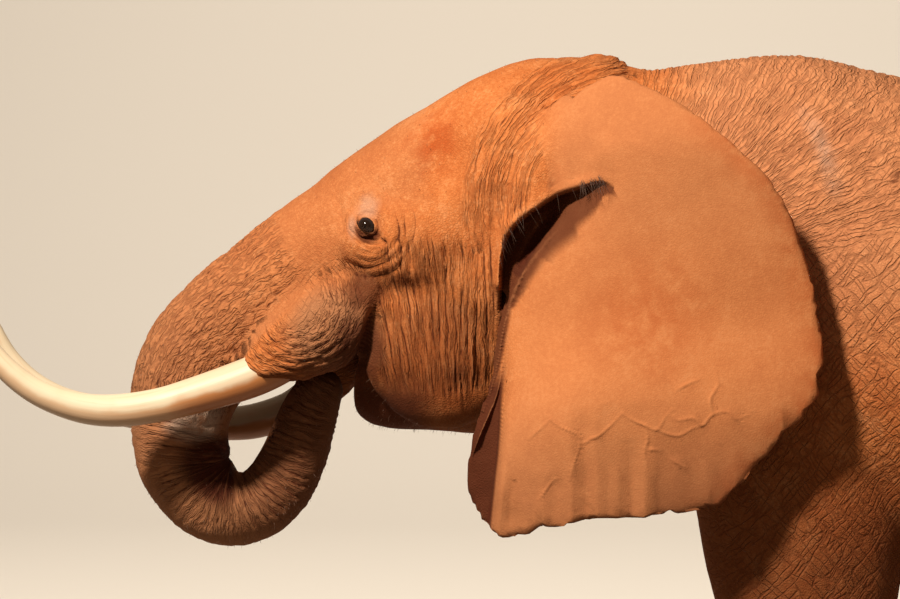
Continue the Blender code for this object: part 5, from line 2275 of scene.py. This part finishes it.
@dataclass
class Nails:
    """Nails round the front of each foot, by degrees from its front: four before, three behind."""

    spread: dict = field(default_factory=lambda: {
        "fore": (-62, -22, 20, 58), "hind": (-48, -5, 38)})
    node_word: dict = field(default_factory=lambda: {"fore": "front", "hind": "hind"})
    size: tuple = (0.044, 0.092, 0.098)
    height: float = 0.058
    lean: float = 14
    squareness: float = 0.72

    def build(self, legs: Legs, material: Material) -> Object:
        """All the nails as one piece.

        Args:
            legs: the legs that carry them.
            material: their finish.

        Returns:
            The piece.
        """
        places, turns = [], []
        for pair, word in legs.stride:
            side = SIDES[word]
            x, y, _, across, along = legs.rows(pair, word)[-3]
            for degrees in self.spread[pair]:
                turn = math.radians(degrees)
                places.append((x - (along + 0.008) * math.cos(turn),
                               y + side * (across + 0.008) * math.sin(turn), self.height))
                turns.append((0.0, -math.radians(self.lean), -side * turn))
        seeds = seed_points("nail_places", np.array(places), {"turn": np.array(turns)})
        half = tuple(length / 2 for length in self.size)
        return nail_tree().run("toenails", seeds, {"Size": half, "Squareness": self.squareness,
                                                   "Material": material})

    def nodes(self) -> list[str]:
        """The names of the model's nails, which the piece stands for."""
        return [f"nail_{self.node_word[pair]}_{word}_{number}" for pair in self.spread
                for word in SIDES for number in range(1, len(self.spread[pair]) + 1)]


# ---- hair
class Lie(Enum):
    """Which way a bristle leans from the skin."""

    DOWN = (0.0, 0.0, -1.0)
    BACK = (0.8, 0.0, -0.5)
    FORWARD = (-0.7, 0.0, -0.6)


@dataclass(frozen=True)
class Growth:
    """Bristles scattered over one part of the skin."""

    name: str
    low: tuple
    high: tuple
    count: int
    reach: float
    girth: float
    lie: Lie
    lean: float
    tone: tuple
    seed: int

    def roots(self, skin: Mesh) -> tuple[Array, Array]:
        """Places and directions out of the skin, spread evenly over the part.

        Args:
            skin: the finished skin.

        Returns:
            The places, and the directions.
        """
        centres, normals = (read(skin.polygons, key, 3).astype(float)
                            for key in ("center", "normal"))
        mirrored = centres * (1, 0, 1) + np.abs(centres) * (0, 1, 0)
        chances = read(skin.polygons, "area").astype(float) * in_box(mirrored, self.low, self.high)
        dice = np.random.default_rng(self.seed)
        picked = dice.choice(len(centres), self.count, p=chances / chances.sum())
        return centres[picked], normals[picked]

    def build(self, skin: Mesh, grower: Grower) -> Object:
        """The bristles as one piece.

        Args:
            skin: the finished skin.
            grower: the tree that grows them.

        Returns:
            The piece.
        """
        places, out = self.roots(skin)
        dice = np.random.default_rng(self.seed + 1)
        lean = np.array(self.lie.value) * self.lean
        aims = out + lean + dice.normal(0, 0.22, out.shape)
        sags = np.array((0.0, 0.0, -0.30)) + dice.normal(0, 0.12, out.shape)
        return grown(self.name, places - out * 0.001, units(aims), sags, self.reach, self.girth,
                     grower, Hair("hair_" + self.name, self.tone).material(), 4)


def unwrap(points: Array) -> Array:
    """Where each place lies on the skin laid out flat round its long axis.

    Args:
        points: the places.

    Returns:
        A row of u, v and 0 for each place.
    """
    around = np.arctan2(points[:, 1], points[:, 2] - 2.0) / (2 * np.pi) + 0.5
    return np.stack([0.01 + 0.97 * around, 0.01 + 0.97 * (points[:, 0] + 2.1) / 4.6,
                     np.zeros(len(points))], 1)


def grown(name: str, feet: Array, aims: Array, sags: Array, reach: Array | float, girth: float,
          grower: Grower, material: Material, steps: int) -> Object:
    """Bristles from these feet.

    Args:
        name: the piece's name.
        feet: where each bristle leaves the skin.
        aims: the direction in which each sets out.
        sags: how far each has bent away by its tip, in lengths of itself.
        reach: the length of each, or of all.
        girth: radius at the foot.
        grower: the tree that grows them.
        material: their finish.
        steps: points along each.

    Returns:
        The piece.
    """
    seeds = seed_points(name + "_feet", feet, {
        "foot": feet, "aim": aims, "sag": sags, "reach": np.zeros(len(feet)) + reach,
        "girth": np.full(len(feet), girth), "spot": unwrap(feet)})
    return grower.run(name, seeds, {"Steps": steps, "Material": material})


@dataclass
class HeadHair:
    """The fringe of the ear canals and the lashes."""

    rim: Rows
    fringe_count: int = 300
    fringe_reach: float = 0.048
    fringe_girth: float = 0.0006
    lash_count: int = 64
    lash_reach: float = 0.030
    lash_girth: float = 0.00055
    brown: tuple = colour(0.075, 0.032, 0.015)

    def fringe(self, skin: Mesh, grower: Grower) -> Object:
        """Hair that hangs over the front edge of each ear canal.

        Args:
            skin: the finished skin.
            grower: the tree that grows it.

        Returns:
            The piece.
        """
        points, normals = points_of(skin), points_of(skin, "normal")
        share, aside = beside(points, self.rim, 0.08)
        edge = (share > 0.04) & (share < 0.46) & (aside > -0.024) & (aside < -0.002)
        edge &= (np.abs(normals[:, 1]) > 0.3) & (np.abs(points[:, 1]) > 0.33)
        dice = np.random.default_rng(5)
        picked = dice.choice(np.flatnonzero(edge), self.fringe_count)
        feet, out = points[picked], normals[picked]
        aims = out * 0.55 + np.array((0.55, 0.0, -0.80)) + dice.normal(0, 0.20, out.shape)
        sags = np.array((0.10, 0.0, -0.40)) + dice.normal(0, 0.10, out.shape)
        return grown("canal_fringe", feet, units(aims), sags, self.fringe_reach,
                     self.fringe_girth, grower, Hair("hair_fringe", self.brown).material(), 5)

    def lashes(self, lids: Eyelids, grower: Grower) -> Object:
        """Long lashes on the upper lids, held out and down.

        Args:
            lids: the lids that carry them.
            grower: the tree that grows them.

        Returns:
            The piece.
        """
        feet, aims, sags = [], [], []
        dice = np.random.default_rng(8)
        for side in SIDES.values():
            centre, out, long, short = lids.frame(side)
            shares = np.linspace(-0.85, 0.85, self.lash_count)
            for share in shares + dice.normal(0, 0.02, self.lash_count):
                p = lids.half_long * share
                q = lids.half_short * math.sqrt(max(1 - share ** 2, 0)) + 0.001
                ball = lids.radius + lids.rim
                rise = math.sqrt(max(ball ** 2 - p * p - q * q, 0)) - 0.001
                feet.append(centre + long * p + short * q + out * rise)
                aims.append(out - 0.25 * short + long * 0.5 * share + dice.normal(0, 0.12, 3))
                sags.append(-0.75 * short + dice.normal(0, 0.06, 3))
        return grown("lashes", np.array(feet), units(np.array(aims)), np.array(sags),
                     self.lash_reach, self.lash_girth, grower,
                     Hair("hair_lash", self.brown).material(), 6)


@dataclass
class TailTuft:
    """Wiry hair along both edges of the end of the tail."""

    rows: Rows = (
        (2.205, 0.029, 1.060, 0.014, 0.018), (2.205, 0.030, 0.930, 0.026, 0.038),
        (2.200, 0.032, 0.820, 0.032, 0.060), (2.195, 0.034, 0.700, 0.032, 0.066),
        (2.190, 0.036, 0.580, 0.026, 0.052), (2.188, 0.038, 0.480, 0.012, 0.024),
    )
    count: int = 1100
    girth: float = 0.0011
    black: tuple = colour(0.018, 0.012, 0.009)

    def build(self, grower: Grower) -> Object:
        """The tuft.

        Args:
            grower: the tree that grows it.

        Returns:
            The piece.
        """
        line = smooth_rows(self.rows, 12)
        dice = np.random.default_rng(12)
        start = np.sort(dice.uniform(0, 0.55, self.count))
        end = np.clip(start + dice.uniform(0.30, 0.65, self.count), 0, 1)
        turn = dice.uniform(0, 2 * np.pi, self.count)
        spread = np.sqrt(dice.uniform(0.10, 1.0, self.count))

        def at(share: Array, wide: Array) -> Array:
            """Finds places on the tuft.

            Args:
                share: how far along it each place lies, from 0 to 1.
                wide: how far out each place lies, as a share of its radius.

            Returns:
                Rows of coordinates.
            """
            row = line[np.clip((share * (len(line) - 1)).astype(int), 0, len(line) - 1)]
            return row[:, :3] + np.stack([np.cos(turn) * row[:, 4] * wide,
                                          np.sin(turn) * row[:, 3] * wide, np.zeros(len(share))], 1)

        feet = at(start, np.minimum(spread, 0.75))
        tips = at(end, spread)
        middle = at((start + end) / 2, spread)
        reach = np.linalg.norm(tips - feet, axis=1)
        straight = (tips - feet) / reach[:, None]
        bend = (2 * (middle - (feet + tips) / 2) / reach[:, None]) * 2
        return grown("tail_hair", feet, straight + bend, -bend, reach, self.girth, grower,
                     Hair("hair_tail", self.black, 0.42).material(), 7)


# ---- the studio
@dataclass
class Studio:
    """A pale floor that turns up behind the animal, a soft key light and a pale surround."""

    aim: tuple = (-1.1015873, 0.0, 2.22380952)
    stand: tuple = (-0.43238501, -10.94136075, 3.1396661)
    lens: float = 138.6
    key_aim: tuple = (-0.6, 0.0, 1.8)
    key_from: tuple = (-0.36, -0.57, 0.72)
    key_distance: float = 9.0
    key_size: float = 1.1
    key_power: float = 1300.0
    key_tint: tuple = (1.0, 0.955, 0.88)
    wash_place: tuple = (0.0, 7.5, 9.0)
    wash_from: tuple = (0.0, -0.75, 0.66)
    wash_size: float = 14.0
    wash_power: float = 1000.0
    wash_tint: tuple = (1.0, 0.94, 0.86)
    sky_power: float = 0.20
    sky_tint: tuple = colour(1.0, 0.86, 0.70)
    floor_tone: tuple = colour(0.80, 0.72, 0.62)
    half_width: float = 40.0
    near: float = -16.0
    turn_up: float = 10.0
    bend: float = 6.0
    facets: int = 12
    height: float = 16.0

    def floor(self) -> Object:
        """The floor and backdrop as one sheet.

        Returns:
            The sheet.
        """
        profile = [(self.near, 0.0), (self.turn_up, 0.0)]
        for step in range(1, self.facets + 1):
            turn = math.pi / 2 * step / self.facets
            profile.append((self.turn_up + self.bend * math.sin(turn),
                            self.bend * (1 - math.cos(turn))))
        profile.append((self.turn_up + self.bend, self.height))
        work = bmesh.new()
        left, right = ([work.verts.new((x, y, z)) for y, z in profile]
                       for x in (-self.half_width, self.half_width))
        for i in range(len(profile) - 1):
            work.faces.new((left[i], right[i], right[i + 1], left[i + 1]))
        made = placed("floor", work)
        made.data.shade_smooth()
        made.visible_diffuse = False
        sheet = Sheet("studio_floor")
        made.data.materials.append(sheet.finish({"Base Color": self.floor_tone, "Roughness": 0.9}))
        return made

    def lamp(self, name: str, size: float, power: float, tint: tuple, place: Vector,
             way: Vector) -> Object:
        """One area light.

        Args:
            name: its name.
            size: its width.
            power: its power in watts.
            tint: its colour.
            place: where it hangs.
            way: the direction that points away from what it lights.

        Returns:
            The lamp.
        """
        data = bpy.data.lights.new(name, "AREA")
        data.size, data.energy, data.color = size, power, tint
        made = shown(name, data)
        made.location = place
        made.rotation_euler = way.to_track_quat("Z", "Y").to_euler()
        return made

    def light(self) -> None:
        """The key light, the wash on the backdrop and the pale surround."""
        way = Vector(self.key_from).normalized()
        key = self.lamp("key", self.key_size, self.key_power, self.key_tint,
                        Vector(self.key_aim) + way * self.key_distance, way)
        key.data.shape = "DISK"
        self.lamp("wash", self.wash_size, self.wash_power, self.wash_tint,
                  Vector(self.wash_place), Vector(self.wash_from))
        world = bpy.data.worlds.new("surround")
        world.use_nodes = True
        sky = world.node_tree.nodes["Background"]
        sky.inputs["Color"].default_value = self.sky_tint
        sky.inputs["Strength"].default_value = self.sky_power
        bpy.context.scene.world = world

    def camera(self, offset: Vector) -> None:
        """The camera, which keeps its place beside the animal.

        Args:
            offset: from the maker's frame to the model's.
        """
        data = bpy.data.cameras.new("view")
        data.lens = self.lens
        camera = shown("view", data)
        camera.location = Vector(self.stand) + offset
        away = Vector(self.stand) - Vector(self.aim)
        camera.rotation_euler = away.to_track_quat("Z", "Y").to_euler()
        bpy.context.scene.camera = camera
        bpy.context.scene.view_settings.view_transform = "Standard"


def settle_piece(piece: Object, offset: Vector, nodes: Iterable[str]) -> None:
    """Moves a piece into the model's frame, hangs it on the body and hides the model's nodes that
    it stands for.

    Args:
        piece: the object, whose mesh is moved.
        offset: from the maker's frame to the model's.
        nodes: the model's nodes that it stands for.
    """
    piece.data.transform(Matrix.Translation(offset))
    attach(piece, BODY)
    if nodes:
        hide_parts(*nodes)
    LOG.info("%s: %d faces, for %d nodes", piece.name, len(piece.data.polygons), len(nodes))


def main() -> None:
    """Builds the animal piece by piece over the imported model."""
    logging.basicConfig(level=logging.INFO, format="%(message)s")
    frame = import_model()
    low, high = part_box("eye_left")
    x, y, z = EYE_CENTRE
    offset = (low + high) / 2 - Vector((x, -y, z))
    hard_words = ("eye_", "nail_", "tusk_", "tail_tuft")
    hard = [name for name in frame["nodes"] if name.startswith(hard_words)]
    flesh = [name for name in frame["nodes"] if name not in hard]

    anatomy = Anatomy()
    skin = Skin(anatomy)
    hide = skin.build()
    hide.data.materials.clear()
    hide.data.materials.append(DustedHide().material())

    bristles = bristle_tree()
    head_hair = HeadHair(anatomy.ears.rim)
    coats = [growth.build(hide.data, bristles) for growth in GROWTHS]
    coats += [head_hair.fringe(hide.data, bristles), head_hair.lashes(skin.lids, bristles)]
    settle_piece(hide, offset, flesh)
    for coat in coats:
        settle_piece(coat, offset, [])
    settle_piece(TailTuft().build(bristles), offset, ["tail_tuft"])

    sweep, ivory, wet = sweep_tree(), Ivory().material(), WetEye().material()
    tusks, eyes, nails = Tusks(), Eyes(), Nails()
    for word in SIDES:
        settle_piece(tusks.build(word, sweep, ivory), offset, ["tusk_" + word])
        settle_piece(eyes.build(word, wet), offset, ["eye_" + word])
    settle_piece(nails.build(anatomy.legs, Horn().material()), offset, nails.nodes())

    studio = Studio()
    studio.floor()
    studio.light()
    studio.camera(offset)


GROWTHS = (
    Growth("chin_bristles", (-1.40, 0.0, 1.80), (-1.02, 0.24, 2.00), 400, 0.014, 0.0004,
           Lie.FORWARD, 0.9, colour(0.16, 0.07, 0.03), 21),
    Growth("crown_bristles", (-1.60, 0.0, 2.55), (-0.45, 0.40, 3.10), 800, 0.012, 0.00045,
           Lie.BACK, 0.5, colour(0.20, 0.085, 0.040), 31),
    Growth("back_bristles", (-0.40, 0.0, 2.50), (2.10, 0.45, 3.10), 800, 0.014, 0.0005,
           Lie.BACK, 0.8, colour(0.16, 0.075, 0.040), 41),
    Growth("trunk_bristles", (-2.20, 0.0, 1.40), (-1.45, 0.20, 2.15), 600, 0.011, 0.0005,
           Lie.DOWN, 0.6, colour(0.24, 0.13, 0.08), 51),
)

if __name__ == "__main__":
    main()
